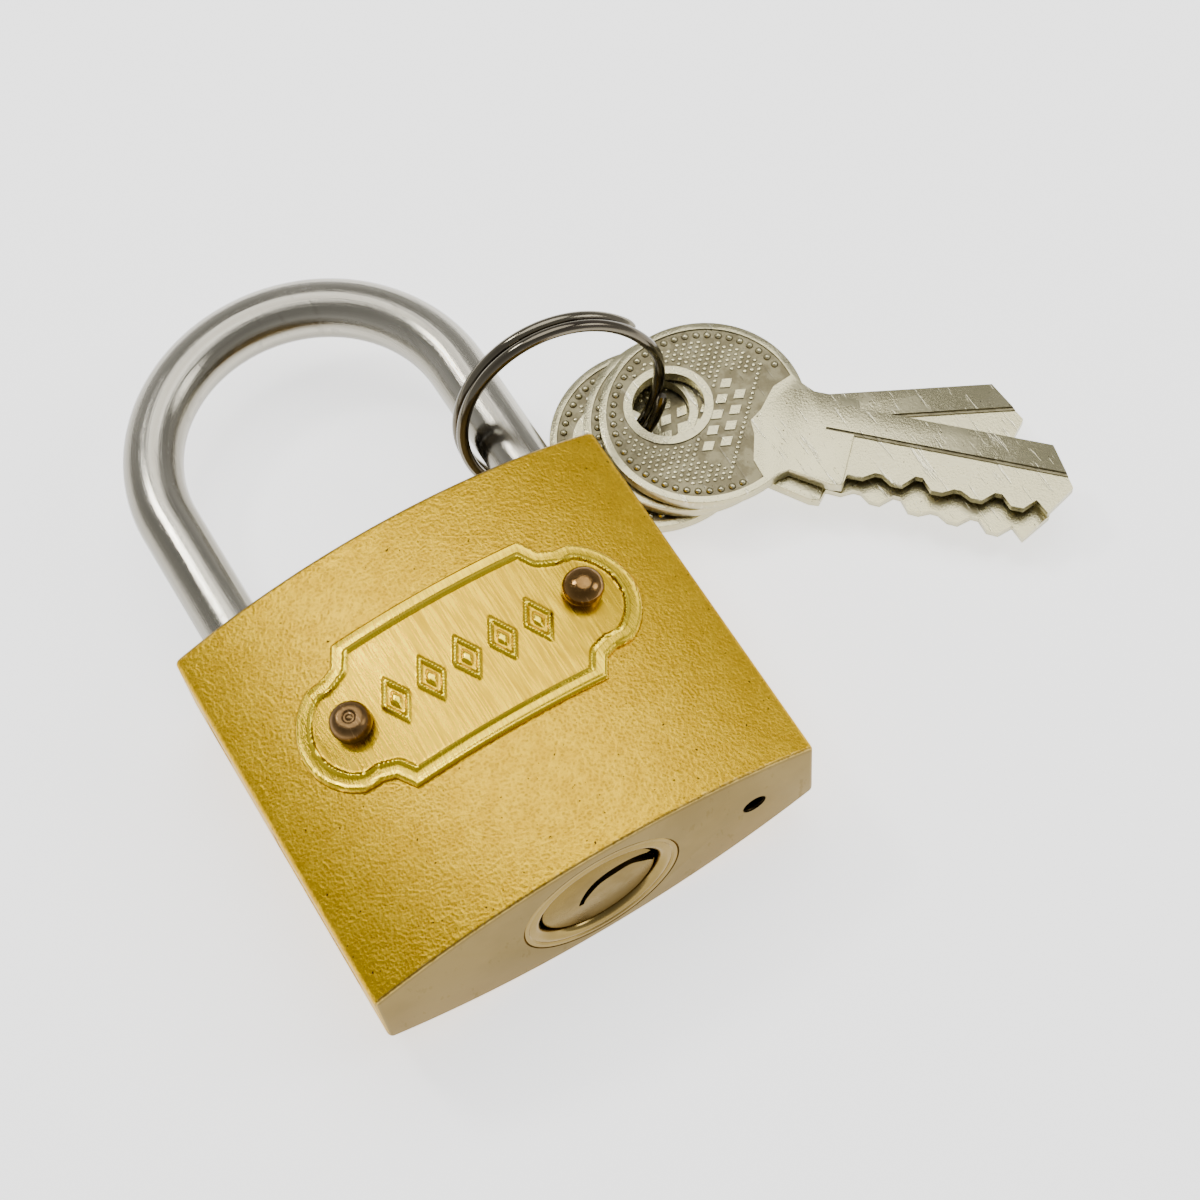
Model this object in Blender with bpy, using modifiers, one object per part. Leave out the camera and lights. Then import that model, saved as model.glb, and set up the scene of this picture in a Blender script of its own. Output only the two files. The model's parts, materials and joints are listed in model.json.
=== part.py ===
"""Small padlock: a crowned metal body, a sprung shackle, a pin cylinder and three keys on a split ring.

The lock lies on its crowned back. +X runs across the body towards the heel leg and the keys,
+Y runs from the keyway face to the shackle, and +Z points out of the front face.
The origin is the middle of the back, on the surface that the lock rests on.
"""
import math

import bmesh
import bpy
from mathutils import Matrix, Vector

MM = 0.001

# Body: a lens-shaped block, flat on its narrow sides and on its two ends.
BODY_WIDTH = 38.0 * MM
BODY_HEIGHT = 33.0 * MM
BODY_THICKNESS = 15.7 * MM
SIDE_THICKNESS = 8.0 * MM
CROWN_FACETS = 21
BODY_EDGE_CHAMFER = 0.3 * MM
MID_Z = BODY_THICKNESS / 2
HALF_WIDTH = BODY_WIDTH / 2

# Shackle: one round bar. The heel leg is the long one and stays in the body.
BAR_RADIUS = 2.5 * MM
LEG_X = 13.58 * MM
ARCH_CENTRE = 46.2 * MM
HEEL_TIP = 6.5 * MM
TOE_TIP = 23.4 * MM
SHACKLE_LIFT = 10.0 * MM
LEG_BORE_RADIUS = 2.7 * MM
HEEL_BORE_FLOOR = 2.6 * MM
TOE_BORE_FLOOR = 22.9 * MM
DRAIN_RADIUS = 1.0 * MM
NECK_RADIUS = 1.78 * MM
NECK_CLEARANCE = 0.3 * MM
NOTCH_DEPTH = 1.5 * MM

# Cylinder: a sleeve in the body, with a turning plug that carries the pins and the cam.
# The keyway is an arc over a point right of the plug's axis and below it, so it opens at the rim.
SLEEVE_RADIUS = 6.8 * MM
SLEEVE_BORE = 5.2 * MM
SLEEVE_LENGTH = 18.6 * MM
SLEEVE_CAVITY = 20.2 * MM
PLUG_RADIUS = 5.0 * MM
PLUG_FRONT = 0.4 * MM
PLUG_BACK = 19.8 * MM
CLIP_GROOVE = 18.8 * MM
CLIP_THICKNESS = 0.5 * MM
TANG_SIDE = 2.6 * MM
KEYWAY_RADIUS = 3.6 * MM
KEYWAY_HALF_WIDTH = 0.5 * MM
KEYWAY_CENTRE = (1.9 * MM, 1.5 * MM)
KEYWAY_BACK = 17.6 * MM
PIN_HEIGHTS = (5.5 * MM, 8.9 * MM, 12.3 * MM, 15.7 * MM)
KEY_PIN_LENGTHS = (2.6 * MM, 3.1 * MM, 2.3 * MM, 2.8 * MM)
DRIVER_LENGTH = 4.0 * MM
PIN_RADIUS = 1.2 * MM
CHAMBER_RADIUS = 1.4 * MM
SHEAR_GAP = 0.12 * MM

# Latch: a round bolt across the body, drawn back by the cam's pin.
LATCH_HEIGHT = 27.0 * MM
LATCH_RADIUS = 2.0 * MM
LATCH_BORE_RADIUS = 2.15 * MM
LATCH_NOSE = -10.78 * MM
LATCH_TAIL = 2.6 * MM
LATCH_BORE_END = 6.4 * MM
LATCH_TRAVEL = 1.5 * MM
CAM_PIN_RADIUS = 0.8 * MM
CAM_PIN_OFFSET = LATCH_TRAVEL / 2
LATCH_CAP_DEPTH = 1.6 * MM
LATCH_CAP_INSET = 0.05 * MM

# Strip that closes the pin chambers: it fills the bottom of a groove in the narrow side.
STRIP_WIDTH = 3.8 * MM
STRIP_LENGTH = 13.6 * MM
STRIP_THICKNESS = 0.95 * MM
STRIP_INSET = 0.05 * MM
GROOVE_CLEARANCE = 0.1 * MM

# Nameplate: thin sheet that follows the crown, with a round lobe at each end.
PLATE_CENTRE = 18.9 * MM
PLATE_GAP = 0.08 * MM
PLATE_THICKNESS = 0.45 * MM
PLATE_HALF_HEIGHT = 6.9 * MM
PLATE_STRAIGHT = 8.3 * MM
LOBE_RADIUS = 5.5 * MM
LOBE_CENTRE = 9.05 * MM
RIVETS = {"rivet_left": (-10.05 * MM, 19.1 * MM), "rivet_right": (10.5 * MM, 19.4 * MM)}
RIVET_HEAD_RADIUS = 1.65 * MM
RIVET_HEAD_HEIGHT = 1.4 * MM
RIVET_SHANK_RADIUS = 1.0 * MM

# Split ring: two turns of round wire about the heel leg, leaning away from the body.
RING_CENTRE = Vector((18.8, 37.75, 9.15)) * MM
RING_AXIS = Vector((-0.14, -0.96, 0.235)).normalized()
RING_RADIUS = 8.8 * MM
RING_WIRE = 0.5 * MM
RING_TURN_STEP = 1.08 * MM
RING_END_ANGLE = math.radians(-18)
RING_CROSSING = math.radians(40)
RING_CROSSING_GAP = math.radians(6)

# Keys: flat stampings stacked on the ring. Each is placed by its hole and the way its blade points.
KEY_THICKNESS = 1.1 * MM
BOW_RADIUS = 8.7 * MM
BOW_CENTRE = 2.95 * MM
KEY_HOLE_RADIUS = 3.05 * MM
KEY_LENGTH = 34.1 * MM
BLADE_HALF_WIDTH = 3.1 * MM
BLADE_ROOT = 15.7 * MM
NECK_HALF_WIDTH = 3.9 * MM
MILL_DEPTH = 0.3 * MM
MILL_EDGE = 0.5 * MM
# Each cut is its place along the blade and its depth, both in mm.
KEY_CUTS = ((18.4, 0.6), (21.7, 1.0), (25.0, 0.5), (28.3, 0.9))
KEYS = {
    "key_1": (Vector((27.2, 35.0, 4.35)) * MM, math.radians(-45.5)),
    "key_2": (Vector((26.2, 35.9, 2.95)) * MM, math.radians(-49.0)),
    "key_3": (Vector((22.6, 36.0, 1.55)) * MM, math.radians(-29.0)),
}

# Turning an object by one of these lays its own Z axis along the named direction.
ALONG_Y = (math.radians(-90), 0, 0)
ALONG_MINUS_Y = (math.radians(90), 0, 0)
ALONG_X = (0, math.radians(90), 0)
ALONG_MINUS_X = (0, math.radians(-90), 0)
UPRIGHT = (0, 0, 0)


def point(x, height, z):
    """A place in the lock, with its height counted from the keyway face."""
    return Vector((x, height - BODY_HEIGHT / 2, z))


# --- Scene, collections and materials -------------------------------------------------------------

def clear_scene():
    for item in list(bpy.data.objects):
        bpy.data.objects.remove(item, do_unlink=True)


def new_collection(name):
    group = bpy.data.collections.new(name)
    bpy.context.scene.collection.children.link(group)
    return group


def new_material(name, colour, roughness, metallic):
    material = bpy.data.materials.new(name)
    material.use_nodes = True
    shader = material.node_tree.nodes["Principled BSDF"]
    shader.inputs["Base Color"].default_value = (*colour, 1.0)
    shader.inputs["Roughness"].default_value = roughness
    shader.inputs["Metallic"].default_value = metallic
    material.diffuse_color = (*colour, 1.0)
    return material


def look(node, colour, roughness, metallic=1.0):
    """Give one sub-part its own material."""
    node.data.materials.clear()
    node.data.materials.append(new_material(node.name, colour, roughness, metallic))
    return node


# --- Building blocks ------------------------------------------------------------------------------

def place(node, location, rotation=UPRIGHT, parent=None):
    node.parent = parent
    node.location = Vector(location) - (parent.location if parent else Vector())
    node.rotation_euler = rotation
    return node


def link_mesh(name, form, group):
    mesh = bpy.data.meshes.new(name)
    form.to_mesh(mesh)
    form.free()
    node = bpy.data.objects.new(name, mesh)
    group.objects.link(node)
    return node


def rod(name, radius, length, group, segments=32):
    """A cylinder that stands on its origin along its own Z axis."""
    form = bmesh.new()
    bmesh.ops.create_cone(
        form, cap_ends=True, segments=segments, radius1=radius, radius2=radius, depth=length,
        matrix=Matrix.Translation((0, 0, length / 2)))
    return link_mesh(name, form, group)


def block(name, size, group):
    """A box that stands on its origin."""
    form = bmesh.new()
    stand = Matrix.Translation((0, 0, size[2] / 2))
    bmesh.ops.create_cube(form, size=1, matrix=stand @ Matrix.Diagonal((*size, 1)))
    return link_mesh(name, form, group)


def prism(name, outline, depth, group):
    """A flat outline, drawn anticlockwise, raised along its own Z axis."""
    form = bmesh.new()
    face = form.faces.new([form.verts.new((x, y, 0)) for x, y in outline])
    raised = bmesh.ops.extrude_face_region(form, geom=[face])["geom"]
    top = [item for item in raised if isinstance(item, bmesh.types.BMVert)]
    bmesh.ops.translate(form, verts=top, vec=(0, 0, depth))
    bmesh.ops.recalc_face_normals(form, faces=form.faces)
    return link_mesh(name, form, group)


def turned(name, profile, group, segments=32, closed=False):
    """A profile of (radius, height) points, from top to bottom, turned about its own Z axis."""
    mesh = bpy.data.meshes.new(name)
    edges = [(i, i + 1) for i in range(len(profile) - 1)]
    if closed:
        edges.append((len(profile) - 1, 0))
    mesh.from_pydata([(radius, 0, height) for radius, height in profile], edges, [])
    node = bpy.data.objects.new(name, mesh)
    group.objects.link(node)
    screw = node.modifiers.new("turn", "SCREW")
    screw.steps = segments
    screw.render_steps = segments
    screw.use_merge_vertices = True
    screw.merge_threshold = 0.005 * MM
    screw.use_smooth_shade = False
    return node


def wire(name, path, radius, group, sides=8):
    """A round wire with closed ends along a path of points."""
    curve = bpy.data.curves.new(name, "CURVE")
    curve.dimensions = "3D"
    curve.bevel_depth = radius
    curve.bevel_resolution = sides // 2 - 2
    curve.use_fill_caps = True
    spline = curve.splines.new("POLY")
    spline.points.add(len(path) - 1)
    for target, place_on_path in zip(spline.points, path):
        target.co = (*place_on_path, 1.0)
    node = bpy.data.objects.new(name, curve)
    group.objects.link(node)
    return node


def to_mesh(node):
    """Turn a curve into a mesh with its seams welded, so that it can be cut."""
    evaluated = node.evaluated_get(bpy.context.evaluated_depsgraph_get())
    mesh = bpy.data.meshes.new_from_object(evaluated)
    form = bmesh.new()
    form.from_mesh(mesh)
    bmesh.ops.remove_doubles(form, verts=form.verts, dist=0.001 * MM)
    form.to_mesh(mesh)
    form.free()
    solid = bpy.data.objects.new(node.name + "_solid", mesh)
    node.users_collection[0].objects.link(solid)
    name = node.name
    bpy.data.objects.remove(node, do_unlink=True)
    solid.name = name
    return solid


def coil(name, mean_radius, wire_radius, length, turns, group):
    """A compression spring that stands on its origin."""
    steps = 9
    count = turns * steps
    rise = length - 2 * wire_radius
    path = []
    for i in range(count + 1):
        angle = 2 * math.pi * i / steps
        x = mean_radius * math.cos(angle)
        y = mean_radius * math.sin(angle)
        path.append((x, y, wire_radius + rise * i / count))
    return wire(name, path, wire_radius, group, sides=6)


def cut(node, cutter, operation="DIFFERENCE"):
    """Take the cutter away from the node, or keep only what they share."""
    cutter.hide_render = True
    cutter.display_type = "WIRE"
    boolean = node.modifiers.new(cutter.name, "BOOLEAN")
    boolean.operation = operation
    boolean.solver = "EXACT"
    boolean.object = cutter
    return node


def arc(centre_x, centre_y, radius, start, end, steps):
    """Points on an arc, in degrees, both ends included."""
    turn = [math.radians(start + (end - start) * i / steps) for i in range(steps + 1)]
    return [(centre_x + radius * math.cos(a), centre_y + radius * math.sin(a)) for a in turn]


# --- Body -----------------------------------------------------------------------------------------

def crown_line(offset=0.0):
    """The front face's outline across the body as (x, height above the side's edge)."""
    sagitta = (BODY_THICKNESS - SIDE_THICKNESS) / 2
    radius = (HALF_WIDTH ** 2 + sagitta ** 2) / (2 * sagitta)
    flat_half = HALF_WIDTH / CROWN_FACETS
    sink = math.sqrt(radius ** 2 - HALF_WIDTH ** 2)
    scale = sagitta / (math.sqrt(radius ** 2 - flat_half ** 2) - sink)
    xs = [-HALF_WIDTH + BODY_WIDTH * i / CROWN_FACETS for i in range(CROWN_FACETS + 1)]
    return [(x, offset + scale * (math.sqrt(radius ** 2 - x ** 2) - sink)) for x in xs]


def lens_outline():
    """The body's section, with x along X and y along -Z, seen from the keyway face."""
    edge = SIDE_THICKNESS / 2
    front = [(x, -(edge + rise)) for x, rise in crown_line()]
    back = [(-x, -y) for x, y in front]
    return front + back


def drill(body, cutters, name, radius, start, depth, rotation):
    """One round hole from its mouth along the given direction."""
    bore = rod("cut_" + name, radius, depth, cutters, segments=32 if radius > CHAMBER_RADIUS else 20)
    place(bore, start, rotation)
    cut(body, bore)


def make_body(parts, cutters):
    body = prism("body", lens_outline(), BODY_HEIGHT, parts)
    place(body, point(0, 0, MID_Z), ALONG_Y)
    edges = body.modifiers.new("edges", "BEVEL")
    edges.width = BODY_EDGE_CHAMFER
    edges.segments = 1
    edges.limit_method = "ANGLE"
    edges.angle_limit = math.radians(40)
    over = 1 * MM
    drill(body, cutters, "sleeve_bore", SLEEVE_RADIUS + 0.08 * MM, point(0, -over, MID_Z),
          SLEEVE_CAVITY + over, ALONG_Y)
    drill(body, cutters, "cam_chamber", 4.1 * MM, point(0, SLEEVE_CAVITY - over, MID_Z),
          LATCH_HEIGHT - SLEEVE_CAVITY, ALONG_Y)
    drill(body, cutters, "heel_bore", LEG_BORE_RADIUS, point(LEG_X, BODY_HEIGHT + over, MID_Z),
          BODY_HEIGHT + over - HEEL_BORE_FLOOR, ALONG_MINUS_Y)
    drill(body, cutters, "drain", DRAIN_RADIUS, point(LEG_X, -over, MID_Z),
          HEEL_BORE_FLOOR + 2 * over, ALONG_Y)
    drill(body, cutters, "toe_bore", LEG_BORE_RADIUS, point(-LEG_X, BODY_HEIGHT + over, MID_Z),
          BODY_HEIGHT + over - TOE_BORE_FLOOR, ALONG_MINUS_Y)
    drill(body, cutters, "latch_bore", LATCH_BORE_RADIUS, point(-HALF_WIDTH - over, LATCH_HEIGHT, MID_Z),
          HALF_WIDTH + over + LATCH_BORE_END, ALONG_X)
    for number, height in enumerate(PIN_HEIGHTS, 1):
        drill(body, cutters, f"chamber_{number}", CHAMBER_RADIUS, point(-HALF_WIDTH - over, height, MID_Z),
              HALF_WIDTH + over - SLEEVE_RADIUS + 0.5 * MM, ALONG_X)
    groove_size = (STRIP_WIDTH + 2 * GROOVE_CLEARANCE, STRIP_LENGTH + 2 * GROOVE_CLEARANCE,
                   over + STRIP_INSET + STRIP_THICKNESS + GROOVE_CLEARANCE)
    groove = block("cut_strip_groove", groove_size, cutters)
    cut(body, place(groove, strip_place(-HALF_WIDTH - over), ALONG_X))
    for name, (x, height) in RIVETS.items():
        drill(body, cutters, name + "_hole", RIVET_SHANK_RADIUS + 0.1 * MM,
              point(x, height, BODY_THICKNESS + over), over + BODY_THICKNESS - rivet_end(name) + 0.3 * MM,
              (math.radians(180), 0, 0))
    return look(body, (0.52, 0.32, 0.05), 0.42)


def strip_place(x):
    """The middle of the pin chambers' mouths, at a given place across the lock."""
    return point(x, (PIN_HEIGHTS[0] + PIN_HEIGHTS[-1]) / 2, MID_Z)


def make_closures(parts):
    """The strip over the pin chambers and the round cap in the latch bore's mouth."""
    cover = block("chamber_cover", (STRIP_WIDTH, STRIP_LENGTH, STRIP_THICKNESS), parts)
    place(cover, strip_place(-HALF_WIDTH + STRIP_INSET), ALONG_X)
    look(cover, (0.55, 0.38, 0.12), 0.45)
    cap = rod("latch_bore_plug", LATCH_BORE_RADIUS - 0.08 * MM, LATCH_CAP_DEPTH, parts, 24)
    place(cap, point(-HALF_WIDTH + LATCH_CAP_INSET, LATCH_HEIGHT, MID_Z), ALONG_X)
    look(cap, (0.55, 0.38, 0.12), 0.45)


# --- Shackle --------------------------------------------------------------------------------------

def make_shackle(parts, cutters):
    base = BODY_HEIGHT / 2
    arch = [(x, y - base, 0) for x, y in arc(0, ARCH_CENTRE, LEG_X, 0, 180, 24)]
    path = [(LEG_X, HEEL_TIP - base, 0), *arch, (-LEG_X, TOE_TIP - base, 0)]
    shackle = to_mesh(wire("shackle", path, BAR_RADIUS, parts, sides=20))
    place(shackle, (0, 0, MID_Z))
    pin_height = RIVETS["rivet_right"][1]
    neck_top = pin_height + RIVET_SHANK_RADIUS + NECK_CLEARANCE
    neck_bottom = pin_height - RIVET_SHANK_RADIUS - NECK_CLEARANCE - SHACKLE_LIFT
    wide = BAR_RADIUS + 0.6 * MM
    ring = turned("cut_heel_neck", [
        (wide, neck_top), (wide, neck_bottom), (NECK_RADIUS, neck_bottom), (NECK_RADIUS, neck_top),
    ], cutters, 24, closed=True)
    cut(shackle, place(ring, point(LEG_X, 0, MID_Z), ALONG_Y))
    notch = block("cut_toe_notch", (3 * BAR_RADIUS, 2 * LATCH_RADIUS + 0.6 * MM, 2 * NOTCH_DEPTH), cutters)
    notch_face = -LEG_X + BAR_RADIUS - NOTCH_DEPTH
    cut(shackle, place(notch, point(notch_face, LATCH_HEIGHT, MID_Z), ALONG_X))
    return look(shackle, (0.50, 0.49, 0.47), 0.22)


def make_shackle_spring(parts):
    spring = coil("shackle_spring", 1.9 * MM, 0.3 * MM, HEEL_TIP - HEEL_BORE_FLOOR - 0.3 * MM, 4, parts)
    place(spring, point(LEG_X, HEEL_BORE_FLOOR + 0.15 * MM, MID_Z), ALONG_Y)
    return look(spring, (0.55, 0.55, 0.56), 0.3)


# --- Cylinder -------------------------------------------------------------------------------------

def make_housing(parts, cutters):
    lip = 0.55 * MM
    housing = turned("cylinder_housing", [
        (SLEEVE_RADIUS, SLEEVE_LENGTH), (SLEEVE_RADIUS, 0.12 * MM), (SLEEVE_RADIUS - 0.12 * MM, 0),
        (SLEEVE_BORE + 2 * lip, 0), (SLEEVE_BORE + lip, 0.16 * MM), (SLEEVE_BORE + 0.15 * MM, lip),
        (SLEEVE_BORE, 0.9 * MM), (SLEEVE_BORE, SLEEVE_LENGTH),
    ], parts, 36, closed=True)
    place(housing, point(0, 0.02 * MM, MID_Z), ALONG_Y)
    for number, height in enumerate(PIN_HEIGHTS, 1):
        hole = rod(f"cut_sleeve_{number}", CHAMBER_RADIUS, SLEEVE_RADIUS, cutters, 20)
        cut(housing, place(hole, point(-PLUG_RADIUS + 1 * MM, height, MID_Z), ALONG_MINUS_X))
    return look(housing, (0.50, 0.37, 0.16), 0.3)


def make_plug(parts, cutters, pivot):
    edge = 0.35 * MM
    groove = PLUG_RADIUS - 0.8 * MM
    plug = turned("plug", [
        (0, PLUG_BACK), (PLUG_RADIUS, PLUG_BACK), (PLUG_RADIUS, CLIP_GROOVE + CLIP_THICKNESS + 0.1 * MM),
        (groove, CLIP_GROOVE + CLIP_THICKNESS + 0.1 * MM), (groove, CLIP_GROOVE - 0.1 * MM),
        (PLUG_RADIUS, CLIP_GROOVE - 0.1 * MM), (PLUG_RADIUS, PLUG_FRONT + edge),
        (PLUG_RADIUS - edge, PLUG_FRONT), (0, PLUG_FRONT),
    ], parts, 36)
    place(plug, pivot.location, ALONG_Y, pivot)
    outline = arc(*KEYWAY_CENTRE, KEYWAY_RADIUS + KEYWAY_HALF_WIDTH, -172, -24, 12)
    outline += arc(*KEYWAY_CENTRE, KEYWAY_RADIUS - KEYWAY_HALF_WIDTH, -24, -172, 12)
    keyway = prism("cut_keyway", outline, KEYWAY_BACK, cutters)
    cut(plug, place(keyway, pivot.location, ALONG_Y))
    for number, height in enumerate(PIN_HEIGHTS, 1):
        chamber = rod(f"cut_plug_{number}", CHAMBER_RADIUS, PLUG_RADIUS, cutters, 20)
        cut(plug, place(chamber, point(0, height, MID_Z + 1.0 * MM)))
    socket = block("cut_cam_socket", (TANG_SIDE + 0.2 * MM, TANG_SIDE + 0.2 * MM, 2 * MM), cutters)
    cut(plug, place(socket, point(0, PLUG_BACK - 1 * MM, MID_Z), ALONG_Y))
    return look(plug, (0.48, 0.36, 0.17), 0.33)


def make_cam(parts, cutters, pivot):
    """The plug's rear disc, with a square tang below and a pin off the axis above."""
    disc_thickness = 1.2 * MM
    tang = 0.8 * MM
    cam = rod("cam", 3.6 * MM, disc_thickness, parts)
    place(cam, point(0, PLUG_BACK + 0.1 * MM, MID_Z), ALONG_Y, pivot)
    lower = block("cut_cam_tang", (TANG_SIDE, TANG_SIDE, tang + disc_thickness / 2), cutters)
    place(lower, point(0, PLUG_BACK + 0.1 * MM - tang, MID_Z), ALONG_Y)
    cut(cam, lower, "UNION")
    reach = LATCH_HEIGHT - 0.7 * MM - (PLUG_BACK + disc_thickness / 2)
    pin = rod("cut_cam_pin", CAM_PIN_RADIUS, reach, cutters, 20)
    place(pin, point(CAM_PIN_OFFSET, PLUG_BACK + disc_thickness / 2, MID_Z + CAM_PIN_OFFSET), ALONG_Y)
    cut(cam, pin, "UNION")
    return look(cam, (0.45, 0.45, 0.46), 0.35)


def make_clip(parts, pivot):
    """An open ring that snaps into the plug's groove behind the sleeve."""
    inner = PLUG_RADIUS - 0.7 * MM
    outer = PLUG_RADIUS + 1.1 * MM
    outline = arc(0, 0, outer, -60, 240, 30) + arc(0, 0, inner, 240, -60, 30)
    clip = prism("retaining_clip", outline, CLIP_THICKNESS, parts)
    place(clip, point(0, CLIP_GROOVE, MID_Z), ALONG_Y, pivot)
    return look(clip, (0.42, 0.42, 0.44), 0.35)


def make_pins(parts, pivot):
    """Key pins in the plug, drivers in the body and a spring behind each driver."""
    for number, (height, length) in enumerate(zip(PIN_HEIGHTS, KEY_PIN_LENGTHS), 1):
        taper = 0.7 * MM
        key_pin = turned(f"key_pin_{number}", [
            (0, 0), (PIN_RADIUS - 0.1 * MM, 0), (PIN_RADIUS, -0.1 * MM),
            (PIN_RADIUS, taper - length), (0.45 * MM, -length), (0, -length),
        ], parts, 20)
        place(key_pin, point(0, height, MID_Z + PLUG_RADIUS - SHEAR_GAP), UPRIGHT, pivot)
        look(key_pin, (0.60, 0.45, 0.18), 0.3)
        driver = rod(f"driver_pin_{number}", PIN_RADIUS, DRIVER_LENGTH, parts, 20)
        place(driver, point(-PLUG_RADIUS - SHEAR_GAP, height, MID_Z), ALONG_MINUS_X)
        look(driver, (0.50, 0.50, 0.51), 0.3)
        seat = PLUG_RADIUS + SHEAR_GAP + DRIVER_LENGTH + 0.1 * MM
        spring_length = HALF_WIDTH - 1.2 * MM - seat
        spring = coil(f"pin_spring_{number}", 0.95 * MM, 0.15 * MM, spring_length, 5, parts)
        place(spring, point(-seat, height, MID_Z), ALONG_MINUS_X)
        look(spring, (0.62, 0.50, 0.25), 0.3)


# --- Latch ----------------------------------------------------------------------------------------

def make_latch(parts, cutters):
    length = LATCH_TAIL - LATCH_NOSE
    ramp = 0.9 * MM
    latch = turned("latch", [
        (0, length), (LATCH_RADIUS, length), (LATCH_RADIUS, ramp), (LATCH_RADIUS - ramp, 0), (0, 0),
    ], parts, 28)
    place(latch, point(LATCH_NOSE, LATCH_HEIGHT, MID_Z), ALONG_X)
    clearance = 0.2 * MM
    right = CAM_PIN_OFFSET + CAM_PIN_RADIUS + clearance
    left = CAM_PIN_OFFSET - CAM_PIN_RADIUS - clearance - LATCH_TRAVEL
    slot = block("cut_latch_slot", (right - left, 5 * LATCH_RADIUS, LATCH_RADIUS + 0.6 * MM), cutters)
    slot_floor = LATCH_HEIGHT - LATCH_RADIUS - 1 * MM
    place(slot, point((left + right) / 2, slot_floor, MID_Z), ALONG_Y)
    cut(latch, slot)
    return look(latch, (0.58, 0.44, 0.18), 0.3)


def make_latch_spring(parts):
    length = LATCH_BORE_END - LATCH_TAIL - 0.2 * MM
    spring = coil("latch_spring", 1.5 * MM, 0.2 * MM, length, 4, parts)
    place(spring, point(LATCH_TAIL + 0.1 * MM, LATCH_HEIGHT, MID_Z), ALONG_X)
    return look(spring, (0.55, 0.55, 0.56), 0.3)


# --- Nameplate and rivets -------------------------------------------------------------------------

def plate_quarter():
    """One quarter of the nameplate's outline, from its end on +X up to the straight edge."""
    step = LOBE_RADIUS - 0.55 * MM
    lobe = arc(LOBE_CENTRE, 0, LOBE_RADIUS, 0, 62, 8)
    return [*lobe, (LOBE_CENTRE + 1.1 * MM, step), (LOBE_CENTRE + 0.2 * MM, step + 0.35 * MM),
            (PLATE_STRAIGHT, PLATE_HALF_HEIGHT)]


def plate_outline():
    quarter = plate_quarter()
    upper = quarter + [(-x, y) for x, y in reversed(quarter)]
    return upper + [(x, -y) for x, y in reversed(upper)][1:-1]


def crowned_sheet(name, lowest, thickness, group):
    """A sheet that follows the front face across the body's whole width and height."""
    edge = SIDE_THICKNESS / 2
    under = [(x, -(edge + rise)) for x, rise in crown_line(lowest)]
    over = [(x, -(edge + rise)) for x, rise in crown_line(lowest + thickness)]
    sheet = prism(name, under + over[::-1], BODY_HEIGHT, group)
    return place(sheet, point(0, 0, MID_Z), ALONG_Y)


def make_nameplate(parts, cutters):
    plate = crowned_sheet("nameplate", PLATE_GAP, PLATE_THICKNESS, parts)
    stamp = prism("cut_plate_outline", plate_outline(), BODY_THICKNESS, cutters)
    cut(plate, place(stamp, point(0, PLATE_CENTRE, MID_Z)), "INTERSECT")
    for name, (x, height) in RIVETS.items():
        hole = rod("cut_plate_" + name, RIVET_SHANK_RADIUS + 0.1 * MM, BODY_THICKNESS, cutters, 24)
        cut(plate, place(hole, point(x, height, MID_Z)))
    return look(plate, (0.68, 0.50, 0.12), 0.28)


def crown_at(x):
    """Height of the front face above the floor at a distance from the middle."""
    line = crown_line(MID_Z + SIDE_THICKNESS / 2)
    for (x0, z0), (x1, z1) in zip(line, line[1:]):
        if x0 <= x <= x1:
            return z0 + (z1 - z0) * (x - x0) / (x1 - x0)
    raise ValueError("outside the body")


def rivet_end(name):
    """Where each rivet's shank ends. The right one goes deep and holds the shackle's heel."""
    return 3.0 * MM if name == "rivet_right" else 11.5 * MM


def make_rivets(parts):
    for name, (x, height) in RIVETS.items():
        seat = crown_at(abs(x) - RIVET_HEAD_RADIUS) + PLATE_GAP + PLATE_THICKNESS + 0.05 * MM
        tip = rivet_end(name) - seat
        radius, rise = RIVET_HEAD_RADIUS, RIVET_HEAD_HEIGHT
        if name == "rivet_right":
            dome = arc(0, 0, 1, 90, 0, 6)
            head = [(radius * a, 0.35 * MM + (rise - 0.35 * MM) * b) for a, b in dome]
            head[0] = (0, rise)
        else:
            head = [(0, rise - 0.15 * MM), (radius - 0.55 * MM, rise - 0.15 * MM),
                    (radius - 0.2 * MM, rise - 0.35 * MM), (radius, rise - 0.75 * MM)]
        profile = [*head, (radius, 0), (RIVET_SHANK_RADIUS, 0), (RIVET_SHANK_RADIUS, tip), (0, tip)]
        rivet = turned(name, profile, parts, 24)
        place(rivet, point(x, height, seat))
        look(rivet, (0.16, 0.09, 0.04), 0.35)


# --- Split ring and keys --------------------------------------------------------------------------

def ring_path():
    """Two turns side by side, with one place where the wire crosses from the first to the second."""
    across = Vector((0, 0, 1)).cross(RING_AXIS).normalized()
    upward = RING_AXIS.cross(across)
    if upward.z < 0:
        upward = -upward
    if across.x < 0:
        across = -across
    start = RING_END_ANGLE + RING_CROSSING_GAP + RING_CROSSING + RING_CROSSING_GAP
    sweep = 4 * math.pi - (start - RING_END_ANGLE)
    crossing_end = 2 * math.pi - RING_CROSSING_GAP
    count = 76
    path = []
    for i in range(count + 1):
        turn = sweep * i / count
        share = min(1.0, max(0.0, (turn - crossing_end + RING_CROSSING) / RING_CROSSING))
        smooth = share * share * (3 - 2 * share)
        side = RING_TURN_STEP * (smooth - 0.5)
        angle = start + turn
        path.append(RING_CENTRE + RING_RADIUS * (math.cos(angle) * across + math.sin(angle) * upward)
                    + side * RING_AXIS)
    return path


def make_ring(parts, pivot):
    path = [point(*spot) - pivot.location for spot in ring_path()]
    ring = wire("key_ring", path, RING_WIRE, parts)
    place(ring, pivot.location, UPRIGHT, pivot)
    return look(ring, (0.55, 0.54, 0.52), 0.15)


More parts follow.
